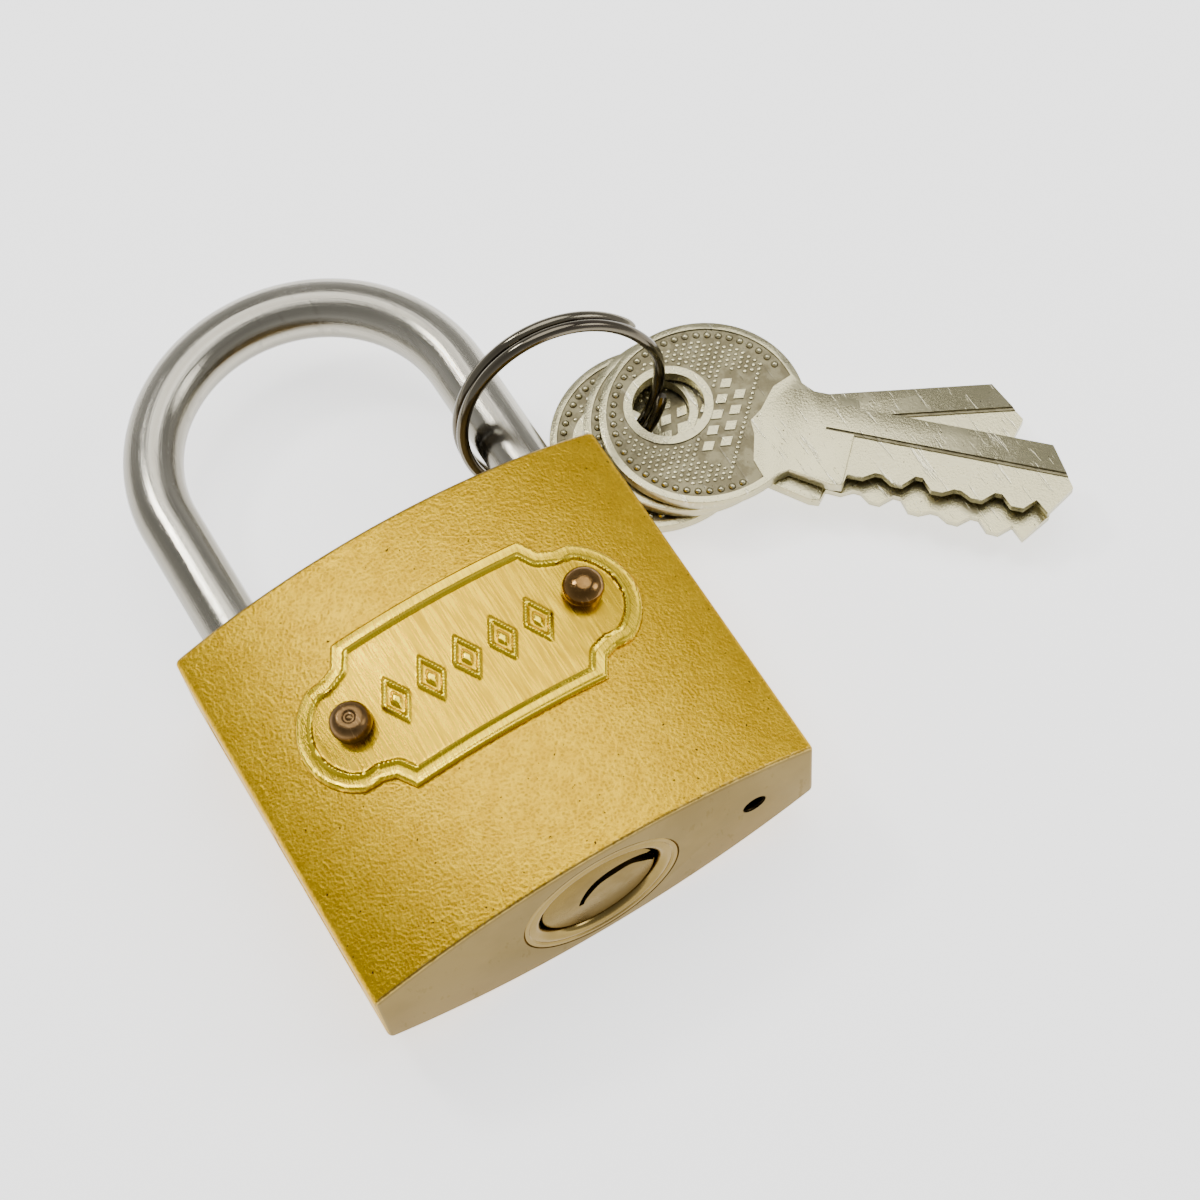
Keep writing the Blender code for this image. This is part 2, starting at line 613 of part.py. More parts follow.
def key_outline():
    """A round bow, a flared neck and a blade with cuts along one edge. The hole is at the origin."""
    half = BLADE_HALF_WIDTH
    neck = NECK_HALF_WIDTH
    shoulder = BLADE_ROOT - 0.9 * MM
    bow = arc(BOW_CENTRE, 0, BOW_RADIUS, 31, 329, 32)
    blade = [(shoulder - 3.6 * MM, -neck), (shoulder, -neck - 0.6 * MM), (BLADE_ROOT, -neck - 0.5 * MM),
             (BLADE_ROOT + 0.2 * MM, -half)]
    for middle, depth in KEY_CUTS:
        x, rise = middle * MM, depth * MM
        blade += [(x - 1.2 * MM, -half), (x - 0.3 * MM, -half + rise),
                  (x + 0.3 * MM, -half + rise), (x + 1.2 * MM, -half)]
    blade += [(KEY_LENGTH - 3.6 * MM, -half), (KEY_LENGTH - 2.7 * MM, -half + 1.0 * MM),
              (KEY_LENGTH - 1.6 * MM, -half), (KEY_LENGTH, -0.4 * MM), (KEY_LENGTH - 2.3 * MM, half)]
    blade += [(BLADE_ROOT, half), (BLADE_ROOT - 0.3 * MM, neck), (shoulder - 3.2 * MM, neck)]
    return bow + blade


def make_key(name, hole, heading, parts, cutters, pivot):
    key = prism(name, key_outline(), KEY_THICKNESS, parts)
    place(key, point(*hole), (0, 0, heading), pivot)
    eye = rod("cut_eye_" + name, KEY_HOLE_RADIUS, 3 * KEY_THICKNESS, cutters, 28)
    cut(key, place(eye, point(*hole) - Vector((0, 0, KEY_THICKNESS))))
    mill = block("cut_mill_" + name, (KEY_LENGTH, 2 * BLADE_HALF_WIDTH, KEY_THICKNESS), cutters)
    along = Matrix.Rotation(heading, 3, "Z")
    middle = along @ Vector((BLADE_ROOT + KEY_LENGTH / 2, MILL_EDGE - BLADE_HALF_WIDTH, 0))
    step = Vector((0, 0, KEY_THICKNESS - MILL_DEPTH))
    cut(key, place(mill, point(*hole) + middle + step, (0, 0, heading)))
    return look(key, (0.56, 0.53, 0.45), 0.3)


def main():
    clear_scene()
    parts = new_collection("padlock")
    cutters = new_collection("cutters")
    plug_pivot = bpy.data.objects.new("plug_pivot", None)
    ring_pivot = bpy.data.objects.new("ring_pivot", None)
    for pivot in (plug_pivot, ring_pivot):
        parts.objects.link(pivot)
    plug_pivot.location = point(0, 0, MID_Z)
    ring_pivot.location = point(LEG_X, RING_CENTRE.y, MID_Z)
    make_body(parts, cutters)
    make_closures(parts)
    make_shackle(parts, cutters)
    make_shackle_spring(parts)
    make_housing(parts, cutters)
    make_plug(parts, cutters, plug_pivot)
    make_cam(parts, cutters, plug_pivot)
    make_clip(parts, plug_pivot)
    make_pins(parts, plug_pivot)
    make_latch(parts, cutters)
    make_latch_spring(parts)
    make_nameplate(parts, cutters)
    make_rivets(parts)
    make_ring(parts, ring_pivot)
    for name, (hole, heading) in KEYS.items():
        make_key(name, hole, heading, parts, cutters, ring_pivot)


main()
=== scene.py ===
# %% [markdown]
# A small padlock, made the way it is put together on a bench
#
# The working model already holds every sub-part in its true place and size. This lesson loads it,
# measures it, and builds the visible surfaces round it: a satin gold body, a stamped nameplate, a
# polished shackle, a split ring and three stamped keys. Each cell makes one thing and prints it.

# %% Load the working model and keep its box
import json
import math

import bmesh
import bpy
import numpy as np
from mathutils import Matrix, Vector


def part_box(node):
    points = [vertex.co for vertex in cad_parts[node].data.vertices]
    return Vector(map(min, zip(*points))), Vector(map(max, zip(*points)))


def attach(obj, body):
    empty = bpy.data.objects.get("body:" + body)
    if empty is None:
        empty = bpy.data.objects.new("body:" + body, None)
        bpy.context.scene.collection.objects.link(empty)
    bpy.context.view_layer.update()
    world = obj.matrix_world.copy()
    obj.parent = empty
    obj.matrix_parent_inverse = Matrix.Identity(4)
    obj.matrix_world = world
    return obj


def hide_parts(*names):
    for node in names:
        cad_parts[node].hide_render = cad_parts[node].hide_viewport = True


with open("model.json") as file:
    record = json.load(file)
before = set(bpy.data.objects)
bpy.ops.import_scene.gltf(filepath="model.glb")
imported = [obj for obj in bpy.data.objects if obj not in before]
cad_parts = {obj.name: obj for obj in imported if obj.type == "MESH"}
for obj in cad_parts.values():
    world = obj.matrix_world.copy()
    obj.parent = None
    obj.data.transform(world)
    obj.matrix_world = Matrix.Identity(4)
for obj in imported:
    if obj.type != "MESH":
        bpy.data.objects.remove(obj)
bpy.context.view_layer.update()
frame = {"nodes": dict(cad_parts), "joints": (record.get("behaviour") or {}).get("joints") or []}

MM = 0.001

# %% [markdown]
# Measuring before making
#
# A number typed twice is a number that can disagree with itself. The sizes below are read off the
# working model's boxes, so that each new surface lands exactly on the solid that it stands for.

# %% Read the main sizes from the model
def span(node):
    """Lowest corner, highest corner and middle of one node."""
    low, high = (Vector(corner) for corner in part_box(node))
    return low, high, (low + high) / 2


body_low, body_high, body_mid = span("body")
half_width = body_high.x
mid_z = body_mid.z
shackle_low, shackle_high, _ = span("shackle")
bar_radius = (shackle_high.z - shackle_low.z) / 2
leg_x = shackle_high.x - bar_radius
arch_y = shackle_high.y - bar_radius - leg_x
plug_low, plug_high, plug_mid = span("plug")
sleeve_low, sleeve_high, sleeve_mid = span("cylinder_housing")
sleeve_radius = (sleeve_high.x - sleeve_low.x) / 2
plug_radius = (plug_high.x - plug_low.x) / 2
latch_low, latch_high, latch_mid = span("latch")
pin_numbers = (1, 2, 3, 4)
pin_places = [span(f"driver_pin_{n}")[2].y for n in pin_numbers]
# Two drill sizes that more than one piece needs.
pin_bore = 1.4 * MM
drain_radius = 1.0 * MM
print("body mm:", [round(v / MM, 1) for v in body_high - body_low])
print("bar radius mm:", round(bar_radius / MM, 2))

# %% [markdown]
# Ways to make a solid
#
# Nearly every metal piece here is turned, bent from bar, or cut from sheet. So the workshop needs
# a lathe and a punch, plus a cutter that works like a drill, and a bender follows in the next step.
# Each helper returns a closed shape, and a cut is applied at once, so nothing stays live on a piece.

# %% Shape helpers
def keep(name, form):
    """Store a bmesh as a new object, with its doubles merged and its faces turned outwards."""
    bmesh.ops.remove_doubles(form, verts=form.verts, dist=0.0005 * MM)
    bmesh.ops.recalc_face_normals(form, faces=form.faces)
    mesh = bpy.data.meshes.new(name)
    form.to_mesh(mesh)
    form.free()
    piece = bpy.data.objects.new(name, mesh)
    bpy.context.scene.collection.objects.link(piece)
    return piece


def turned(name, profile, closed=False, sides=72):
    """Turn (radius, height) points about the Z axis, as on a lathe."""
    form = bmesh.new()
    points = [form.verts.new((radius, 0, height)) for radius, height in profile]
    edges = [form.edges.new(pair) for pair in zip(points, points[1:])]
    if closed:
        edges.append(form.edges.new((points[-1], points[0])))
    bmesh.ops.spin(form, geom=points + edges, axis=(0, 0, 1), cent=(0, 0, 0),
                   angle=2 * math.pi, steps=sides)
    return keep(name, form)


def punched(name, outline, bottom, top):
    """Raise a flat outline of (x, y) points between two heights."""
    form = bmesh.new()
    face = form.faces.new([form.verts.new((x, y, bottom)) for x, y in outline])
    raised = bmesh.ops.extrude_face_region(form, geom=[face])["geom"]
    moved = [item for item in raised if isinstance(item, bmesh.types.BMVert)]
    bmesh.ops.translate(form, verts=moved, vec=(0, 0, top - bottom))
    return keep(name, form)


def settle(piece):
    """Replace a piece by the plain mesh that its modifiers make."""
    bpy.context.view_layer.update()
    result = piece.evaluated_get(bpy.context.evaluated_depsgraph_get())
    mesh = bpy.data.meshes.new_from_object(result)
    piece.modifiers.clear()
    piece.data = mesh
    mesh.name = piece.name
    return piece


def carve(piece, cutters, operation="DIFFERENCE"):
    """Cut with each cutter in turn, then throw the cutters away."""
    for cutter in cutters:
        step = piece.modifiers.new(cutter.name, "BOOLEAN")
        step.operation = operation
        step.solver = "EXACT"
        step.object = cutter
    settle(piece)
    for cutter in cutters:
        bpy.data.objects.remove(cutter)
    return piece


def soften(piece, degrees=35):
    """Shade smoothly, but keep every edge that turns by more than the angle."""
    piece.data.polygons.foreach_set("use_smooth", [True] * len(piece.data.polygons))
    piece.data.set_sharp_from_angle(angle=math.radians(degrees))
    return piece


def arc(centre_x, centre_y, radius, start, end, steps):
    """Points on an arc between two angles in degrees, both included."""
    angles = np.radians(np.linspace(start, end, steps + 1))
    return [(centre_x + radius * math.cos(a), centre_y + radius * math.sin(a)) for a in angles]


TOWARDS_Y = Matrix.Rotation(math.radians(-90), 4, "X")
TOWARDS_X = Matrix.Rotation(math.radians(90), 4, "Y")
print("helpers ready: lathe, punch, cutter")

# %% [markdown]
# Bending a bar or a wire
#
# A shackle, a ring and a spring are all one round section carried along a path. A curve object can
# do that, but a hand-made sweep also lets the radius change along the way, and lets every point
# remember how far along and how far round it is. The polish marks later follow that memory.

# %% The bender
def swept(name, path, radii, sides=32):
    """Carry a circle along a path. Each point keeps its place on the bar in 'drawn'."""
    path = np.array([list(p) for p in path])
    tangents = np.gradient(path, axis=0)
    tangents /= np.linalg.norm(tangents, axis=1)[:, None]
    side = np.cross(tangents[0], (0, 0, 1.0))
    if np.linalg.norm(side) < 0.1:
        side = np.cross(tangents[0], (0, 1.0, 0))
    lengths = np.concatenate([[0], np.cumsum(np.linalg.norm(np.diff(path, axis=0), axis=1))])
    turn = np.linspace(0, 2 * math.pi, sides, endpoint=False)
    points, memory = [], []
    for place, tangent, radius, along in zip(path, tangents, radii, lengths):
        side = side - tangent * side.dot(tangent)
        side /= np.linalg.norm(side)
        other = np.cross(tangent, side)
        ring = np.cos(turn)[:, None] * side + np.sin(turn)[:, None] * other
        points.append(place + radius * ring)
        memory.append(np.column_stack([radius * np.cos(turn), radius * np.sin(turn), np.full(sides, along)]))
    faces = []
    for row in range(len(path) - 1):
        for k in range(sides):
            a, b = row * sides + k, row * sides + (k + 1) % sides
            faces.append((a, b, b + sides, a + sides))
    faces.append(tuple(range(sides))[::-1])
    faces.append(tuple(range((len(path) - 1) * sides, len(path) * sides)))
    mesh = bpy.data.meshes.new(name)
    mesh.from_pydata(np.concatenate(points).tolist(), [], faces)
    drawn = mesh.attributes.new("drawn", "FLOAT_VECTOR", "POINT")
    drawn.data.foreach_set("vector", np.concatenate(memory).ravel())
    mesh.validate()
    piece = bpy.data.objects.new(name, mesh)
    bpy.context.scene.collection.objects.link(piece)
    return piece


print("bender ready")

# %% [markdown]
# Writing a material as a recipe
#
# A procedural material is a small circuit. A few short helpers keep the wiring readable: one adds a
# node and fills its sockets, and the others do sums, ranges and blends. Effects that several metals
# share, such as a pebbled skin or handling marks, are built once as groups and reused.

# %% Node helpers
def put(tree, kind, settings=None, **sockets):
    """Add a node. A socket given another socket is linked, and anything else is its value."""
    made = tree.nodes.new(kind)
    for key, value in (settings or {}).items():
        setattr(made, key, value)
    for key, value in sockets.items():
        socket = made.inputs[key.replace("_", " ")]
        if isinstance(value, bpy.types.NodeSocket):
            tree.links.new(value, socket)
        else:
            socket.default_value = value
    return made


def feed(tree, socket, value):
    if isinstance(value, bpy.types.NodeSocket):
        tree.links.new(value, socket)
    else:
        socket.default_value = value


def sums(tree, operation, first, second=0.0):
    made = put(tree, "ShaderNodeMath", {"operation": operation})
    feed(tree, made.inputs[0], first)
    feed(tree, made.inputs[1], second)
    return made.outputs[0]


def plus(tree, first, second):
    return sums(tree, "ADD", first, second)


def minus(tree, first, second):
    return sums(tree, "SUBTRACT", first, second)


def times(tree, first, second):
    return sums(tree, "MULTIPLY", first, second)


def hypotenuse(tree, first, second):
    """The long side over two short ones, which gives a distance from an axis."""
    return sums(tree, "SQRT", plus(tree, times(tree, first, first), times(tree, second, second)))


def between(tree, value, low, high, out_low=0.0, out_high=1.0):
    """Map a range smoothly onto another."""
    made = put(tree, "ShaderNodeMapRange", {"interpolation_type": "SMOOTHSTEP"})
    for index, item in enumerate((value, low, high, out_low, out_high)):
        feed(tree, made.inputs[index], item)
    return made.outputs[0]


def blend_colours(tree, share, first, second):
    made = put(tree, "ShaderNodeMix", {"data_type": "RGBA"})
    feed(tree, made.inputs[0], share)
    feed(tree, made.inputs[6], first)
    feed(tree, made.inputs[7], second)
    return made.outputs[2]


def stretch(tree, vector, scale, turn=(0, 0, 0)):
    made = put(tree, "ShaderNodeMapping", Vector=vector)
    made.inputs["Scale"].default_value = scale
    made.inputs["Rotation"].default_value = turn
    return made.outputs[0]


def noise(tree, vector, scale, detail, roughness):
    made = put(tree, "ShaderNodeTexNoise", Vector=vector, Scale=scale, Detail=detail, Roughness=roughness)
    return made.outputs["Fac"]


def new_group(name, inputs, outputs):
    """An empty shader group with named float or vector sockets."""
    tree = bpy.data.node_groups.new(name, "ShaderNodeTree")
    for label, kind in inputs:
        tree.interface.new_socket(label, in_out="INPUT", socket_type=kind)
    for label, kind in outputs:
        tree.interface.new_socket(label, in_out="OUTPUT", socket_type=kind)
    return tree, tree.nodes.new("NodeGroupInput").outputs, tree.nodes.new("NodeGroupOutput").inputs


FLOAT, VECTOR = "NodeSocketFloat", "NodeSocketVector"
print("node helpers ready")

# %% [markdown]
# The pebbled skin of the case
#
# The gold coat isn't smooth: it looks like very fine sand under lacquer. Two layers make that, a
# soft cell pattern about a quarter of a millimetre wide and a finer noise over it. Rare dark specks
# are places where the coat missed.

# %% Group: pebbled coat
pebbles, given, result = new_group(
    "pebbled coat", [("Vector", VECTOR), ("Grain", FLOAT)],
    [("Height", FLOAT), ("Patches", FLOAT), ("Specks", FLOAT)])
grain = given["Grain"]
cells = put(pebbles, "ShaderNodeTexVoronoi", {"feature": "SMOOTH_F1"}, Vector=given["Vector"],
            Scale=grain, Smoothness=0.6).outputs["Distance"]
fine = noise(pebbles, given["Vector"], times(pebbles, grain, 1.7), 4.0, 0.6)
broad = noise(pebbles, given["Vector"], times(pebbles, grain, 0.16), 3.0, 0.55)
rare = noise(pebbles, given["Vector"], times(pebbles, grain, 0.75), 1.0, 0.5)
feed(pebbles, result["Height"], plus(pebbles, times(pebbles, cells, 0.9), fine))
feed(pebbles, result["Patches"], between(pebbles, broad, 0.35, 0.65))
feed(pebbles, result["Specks"], between(pebbles, rare, 0.735, 0.79))
print("group:", pebbles.name)

# %% [markdown]
# Drawn and brushed lines
#
# Bar stock shows hairlines along its length, and a brushed plate shows them across. Both are one
# noise squeezed hard in one direction. A second, slower layer keeps the lines from looking ruled.

# %% Group: drawn lines
lines, given, result = new_group(
    "drawn lines", [("Vector", VECTOR), ("Fineness", FLOAT)], [("Lines", FLOAT), ("Bands", FLOAT)])
thin = noise(lines, given["Vector"], given["Fineness"], 5.0, 0.7)
wide = noise(lines, given["Vector"], times(lines, given["Fineness"], 0.22), 2.0, 0.5)
feed(lines, result["Lines"], between(lines, thin, 0.3, 0.7))
feed(lines, result["Bands"], between(lines, wide, 0.3, 0.7))
print("group:", lines.name)

# %% [markdown]
# Handling marks
#
# Keys and rings live in pockets. Short scratches cross at two angles, and a cloudy film dulls the
# polish in places. The group gives both as masks, and each metal decides how much it shows.

# %% Group: handling marks
marks, given, result = new_group(
    "handling marks", [("Vector", VECTOR), ("Density", FLOAT)], [("Scratches", FLOAT), ("Film", FLOAT)])
scratch_layers = []
for angle, threshold in ((0.5, 0.60), (-0.9, 0.62)):
    turned_vector = stretch(marks, given["Vector"], (1.0, 0.09, 0.35), (0, 0, angle))
    layer = noise(marks, turned_vector, given["Density"], 3.0, 0.65)
    scratch_layers.append(between(marks, layer, threshold, threshold + 0.09))
film = noise(marks, given["Vector"], times(marks, given["Density"], 0.12), 4.0, 0.6)
feed(marks, result["Scratches"], sums(marks, "MAXIMUM", *scratch_layers))
feed(marks, result["Film"], between(marks, film, 0.38, 0.68))
print("group:", marks.name)


# %% [markdown]
# From groups to metals
#
# Every metal here starts with the same three steps: a Principled shader, the object's own
# coordinates, and a Bump node that turns a height into a normal. The recipes then differ in colour,
# in roughness and in which group speaks loudest.

# %% Metal helpers
def metal(name, roughness, metallic=1.0):
    """A material with a Principled shader, ready for its recipe."""
    material = bpy.data.materials.new(name)
    material.use_nodes = True
    tree = material.node_tree
    shader = tree.nodes["Principled BSDF"]
    shader.inputs["Metallic"].default_value = metallic
    shader.inputs["Roughness"].default_value = roughness
    where = put(tree, "ShaderNodeTexCoord").outputs["Object"]
    return material, tree, shader, where


def use_group(tree, group, **sockets):
    made = tree.nodes.new("ShaderNodeGroup")
    made.node_tree = group
    for key, value in sockets.items():
        feed(tree, made.inputs[key], value)
    return made.outputs


def emboss(tree, shader, height, depth, strength=1.0):
    bump = put(tree, "ShaderNodeBump", Height=height, Strength=strength, Distance=depth)
    tree.links.new(bump.outputs[0], shader.inputs["Normal"])


def wear_in(tree, shader, colour, rough):
    """Give a shader its worn colour and its worn roughness."""
    tree.links.new(colour, shader.inputs["Base Color"])
    tree.links.new(rough, shader.inputs["Roughness"])


def split(tree, vector):
    return put(tree, "ShaderNodeSeparateXYZ", Vector=vector).outputs


print("metal helpers ready")

# %% [markdown]
# Gold coat with bare ends, painted darker as shade
#
# The crowned faces and the sides wear a satin gold coat. The two ends were faced off afterwards and
# show duller bare metal, with a thin dark seam where the coat stops; their dark colour is partly
# painted shade. One material does both, because they share one casting: the distance along the lock
# decides which one shows. The coat is rubbed thin along the rims. The drain hole's walls and a thin
# ring round its mouth are painted near black as shade, and the low places of the pebbled skin get
# painted shade.

# %% Material: case
def make_case_metal():
    material, tree, shader, where = metal("case gold", 0.4)
    shader.inputs["Specular Tint"].default_value = (0.83, 0.76, 0.62, 1)
    coat = use_group(tree, pebbles, Vector=where, Grain=3600.0)
    film = use_group(tree, marks, Vector=where, Density=900.0)
    axis = split(tree, where)
    end_distance = sums(tree, "ABSOLUTE", axis["Y"])
    end = body_high.y

    gold = blend_colours(tree, coat["Patches"], (0.60, 0.36, 0.006, 1), (0.67, 0.415, 0.009, 1))
    # Painted shade: the low places of the pebbled skin are painted a darker gold.
    pebble_painted_shade = between(tree, coat["Height"], 0.5, 1.1, 0.5, 0.0)
    gold = blend_colours(tree, pebble_painted_shade, gold, (0.33, 0.18, 0.007, 1))
    gold = blend_colours(tree, coat["Specks"], gold, (0.06, 0.032, 0.008, 1))

    ragged = times(tree, minus(tree, coat["Height"], 0.9), 0.35 * MM)
    rim = between(tree, plus(tree, end_distance, ragged), end - 0.38 * MM, end - 0.1 * MM)
    worn = blend_colours(tree, times(tree, rim, 0.75), gold, (0.80, 0.56, 0.16, 1))
    seam_start = between(tree, end_distance, end - 0.34 * MM, end - 0.27 * MM)
    seam_stop = between(tree, end_distance, end - 0.2 * MM, end - 0.13 * MM, 0.6, 0.0)
    worn = blend_colours(tree, times(tree, seam_start, seam_stop), worn, (0.12, 0.07, 0.02, 1))

    # The ends: bare metal, and their colour is painted darker and duller than the gold, partly as painted
    # shade.
    bare_and_shaded_ends = between(tree, end_distance, end - 0.22 * MM, end - 0.06 * MM)
    pale = blend_colours(tree, film["Film"], (0.165, 0.115, 0.04, 1), (0.205, 0.148, 0.056, 1))
    colour = blend_colours(tree, bare_and_shaded_ends, worn, pale)
    # Painted shade: the drain hole's walls and a thin ring round its mouth are painted near black.
    from_drain = hypotenuse(tree, minus(tree, axis["X"], leg_x),
                            minus(tree, axis["Z"], mid_z))
    drain_painted_shade = between(tree, from_drain, drain_radius - 0.01 * MM, drain_radius + 0.09 * MM, 1.0, 0.0)
    colour = blend_colours(tree, drain_painted_shade, colour, (0.022, 0.014, 0.006, 1))

    satin = between(tree, coat["Height"], 0.5, 1.2, 0.42, 0.3)
    smooth = between(tree, film["Scratches"], 0.0, 1.0, 0.36, 0.44)
    wear_in(tree, shader, colour, put(tree, "ShaderNodeMix", Factor=bare_and_shaded_ends, A=satin, B=smooth).outputs[0])
    relief = times(tree, coat["Height"], minus(tree, 1.0, bare_and_shaded_ends))
    emboss(tree, shader, relief, 0.05 * MM, 0.8)
    return material


case_metal = make_case_metal()
print("material:", case_metal.name)

# %% [markdown]
# Bright sheet for the nameplate
#
# The plate is thin brass, brushed from top to bottom before it was stamped, so its grain runs
# along the shackle's legs. The raised lines were polished by the stamping tool, so they are smoother,
# and their brighter colour is a painted highlight. An attribute says how raised each point is, and the
# mesh code fills it in later.

# %% Material: nameplate
def make_plate_metal():
    material, tree, shader, where = metal("bright brass sheet", 0.24)
    grain = use_group(tree, lines, Vector=stretch(tree, where, (1.0, 0.045, 0.2)), Fineness=5200.0)
    wear = use_group(tree, marks, Vector=where, Density=1500.0)
    raised = put(tree, "ShaderNodeAttribute", {"attribute_name": "raised"}).outputs["Fac"]
    brass = blend_colours(tree, grain["Lines"], (0.46, 0.27, 0.004, 1), (0.78, 0.51, 0.012, 1))
    brass = blend_colours(tree, times(tree, grain["Bands"], 0.4), brass, (0.55, 0.33, 0.006, 1))
    # Painted highlight: the raised lines are painted a brighter brass.
    brass = blend_colours(tree, times(tree, raised, 0.7), brass, (0.96, 0.73, 0.035, 1))
    rough = between(tree, grain["Lines"], 0.0, 1.0, 0.34, 0.2)
    rough = plus(tree, rough, times(tree, wear["Film"], 0.06))
    rough = minus(tree, rough, times(tree, raised, 0.09))
    wear_in(tree, shader, brass, rough)
    emboss(tree, shader, grain["Lines"], 0.012 * MM, 0.5)
    return material


plate_metal = make_plate_metal()
print("material:", plate_metal.name)

# %% [markdown]
# Polished bar, nickelled wire and stamped nickel
#
# These three are grey metals, and they are told apart by their marks. The shackle was drawn through
# a die, so its lines follow the bar. The ring's plating is nearly a mirror. The keys were struck
# from sheet and tumbled, so their high places shine while the sunk ones are painted darker.

# %% Materials: shackle, ring and keys
def make_bar_metal(name, colour, dark, fineness, roughness, relief):
    material, tree, shader, where = metal(name, roughness)
    drawn = put(tree, "ShaderNodeAttribute", {"attribute_name": "drawn"}).outputs["Vector"]
    grain = use_group(tree, lines, Vector=stretch(tree, drawn, (1.0, 1.0, 0.03)), Fineness=fineness)
    wear = use_group(tree, marks, Vector=where, Density=1100.0)
    steel = blend_colours(tree, grain["Bands"], dark, colour)
    steel = blend_colours(tree, times(tree, wear["Scratches"], 0.35), steel, dark)
    rough = between(tree, grain["Lines"], 0.0, 1.0, roughness + 0.07, roughness - 0.04)
    rough = plus(tree, rough, times(tree, wear["Film"], 0.08))
    wear_in(tree, shader, steel, rough)
    height = minus(tree, grain["Lines"], times(tree, wear["Scratches"], 0.6))
    emboss(tree, shader, height, relief, 0.5)
    return material


def make_key_metal():
    material, tree, shader, where = metal("stamped nickel", 0.3)
    wear = use_group(tree, marks, Vector=where, Density=2100.0)
    sunk = put(tree, "ShaderNodeAttribute", {"attribute_name": "sunk"}).outputs["Fac"]
    grain = use_group(tree, pebbles, Vector=where, Grain=5200.0)
    nickel = blend_colours(tree, wear["Film"], (0.50, 0.46, 0.275, 1), (0.55, 0.505, 0.31, 1))
    scored = times(tree, wear["Scratches"], 0.5)
    nickel = blend_colours(tree, scored, nickel, (0.74, 0.70, 0.54, 1))
    # The sunk places are painted darker.
    sunk_darkening = times(tree, sunk, between(tree, grain["Patches"], 0.0, 1.0, 0.7, 0.9))
    colour = blend_colours(tree, sunk_darkening, nickel, (0.12, 0.10, 0.055, 1))
    colour = blend_colours(tree, grain["Specks"], colour, (0.07, 0.055, 0.03, 1))
    rough = between(tree, wear["Film"], 0.0, 1.0, 0.25, 0.29)
    rough = plus(tree, rough, times(tree, sunk, 0.15))
    wear_in(tree, shader, colour, rough)
    height = minus(tree, grain["Height"], times(tree, wear["Scratches"], 1.4))
    emboss(tree, shader, height, 0.018 * MM, 0.6)
    return material


shackle_metal = make_bar_metal(
    "drawn steel", (0.46, 0.435, 0.365, 1), (0.27, 0.25, 0.20, 1), 2600.0, 0.17, 0.014 * MM)
ring_metal = make_bar_metal(
    "nickelled wire", (0.19, 0.17, 0.125, 1), (0.11, 0.095, 0.07, 1), 3800.0, 0.1, 0.004 * MM)
spring_metal = make_bar_metal(
    "spring wire", (0.58, 0.58, 0.58, 1), (0.40, 0.39, 0.37, 1), 5200.0, 0.28, 0.004 * MM)
key_metal = make_key_metal()
print("materials:", shackle_metal.name, ring_metal.name, spring_metal.name, key_metal.name)

# %% [markdown]
# Turned brass and dark rivets
#
# Pieces from a lathe carry rings round their axis. Noise laid along the distance from that axis
# draws them. The rivets are browned brass, and rubbing has brightened them in patches.

# %% Materials: turned parts and rivets
def make_turned_metal(name, colour, dark, roughness):
    """Rings round the plug's axis, which runs along Y."""
    material, tree, shader, where = metal(name, roughness)
    offset = put(tree, "ShaderNodeVectorMath", {"operation": "SUBTRACT"})
    tree.links.new(where, offset.inputs[0])
    offset.inputs[1].default_value = plug_mid
    axis = split(tree, offset.outputs[0])
    radius = hypotenuse(tree, axis["X"], axis["Z"])
    spread = put(tree, "ShaderNodeCombineXYZ", X=radius, Y=times(tree, axis["Y"], 0.6))
    shader.inputs["Specular Tint"].default_value = (0.87, 0.79, 0.64, 1)
    rings = use_group(tree, lines, Vector=spread.outputs[0], Fineness=4200.0)
    wear = use_group(tree, marks, Vector=where, Density=1600.0)
    base = blend_colours(tree, times(tree, wear["Film"], 0.6), colour, dark)
    base = blend_colours(tree, times(tree, rings["Lines"], 0.25), base, dark)
    rough = between(tree, wear["Film"], 0.0, 1.0, roughness - 0.05, roughness + 0.08)
    wear_in(tree, shader, base, rough)
    emboss(tree, shader, minus(tree, rings["Lines"], wear["Scratches"]), 0.006 * MM, 0.5)
    return material


def make_rivet_metal(name, roughness, dark, bright):
    material, tree, shader, where = metal(name, roughness)
    wear = use_group(tree, marks, Vector=where, Density=3000.0)
    grain = use_group(tree, pebbles, Vector=where, Grain=5200.0)
    colour = blend_colours(tree, times(tree, wear["Film"], 0.8), dark, bright)
    scored = times(tree, wear["Scratches"], 0.6)
    colour = blend_colours(tree, scored, colour, (0.45, 0.28, 0.12, 1))
    rough = between(tree, grain["Height"], 0.5, 1.2, roughness + 0.1, roughness - 0.04)
    wear_in(tree, shader, colour, rough)
    emboss(tree, shader, grain["Height"], 0.01 * MM, 0.5)
    return material


sleeve_metal = make_turned_metal("turned brass sleeve", (0.27, 0.19, 0.06, 1), (0.19, 0.13, 0.04, 1), 0.2)
core_metal = make_turned_metal("turned brass core", (0.18, 0.12, 0.03, 1), (0.13, 0.085, 0.02, 1), 0.3)
pin_brass = make_turned_metal("pin brass", (0.72, 0.55, 0.24, 1), (0.50, 0.36, 0.14, 1), 0.26)
pin_steel = make_turned_metal("pin steel", (0.60, 0.60, 0.60, 1), (0.40, 0.40, 0.41, 1), 0.26)
flat_rivet_metal = make_rivet_metal("browned rivet", 0.32, (0.13, 0.075, 0.028, 1), (0.21, 0.125, 0.05, 1))
dome_rivet_metal = make_rivet_metal("rubbed rivet", 0.16, (0.16, 0.085, 0.025, 1), (0.26, 0.15, 0.05, 1))
print("materials for turned parts and rivets ready")

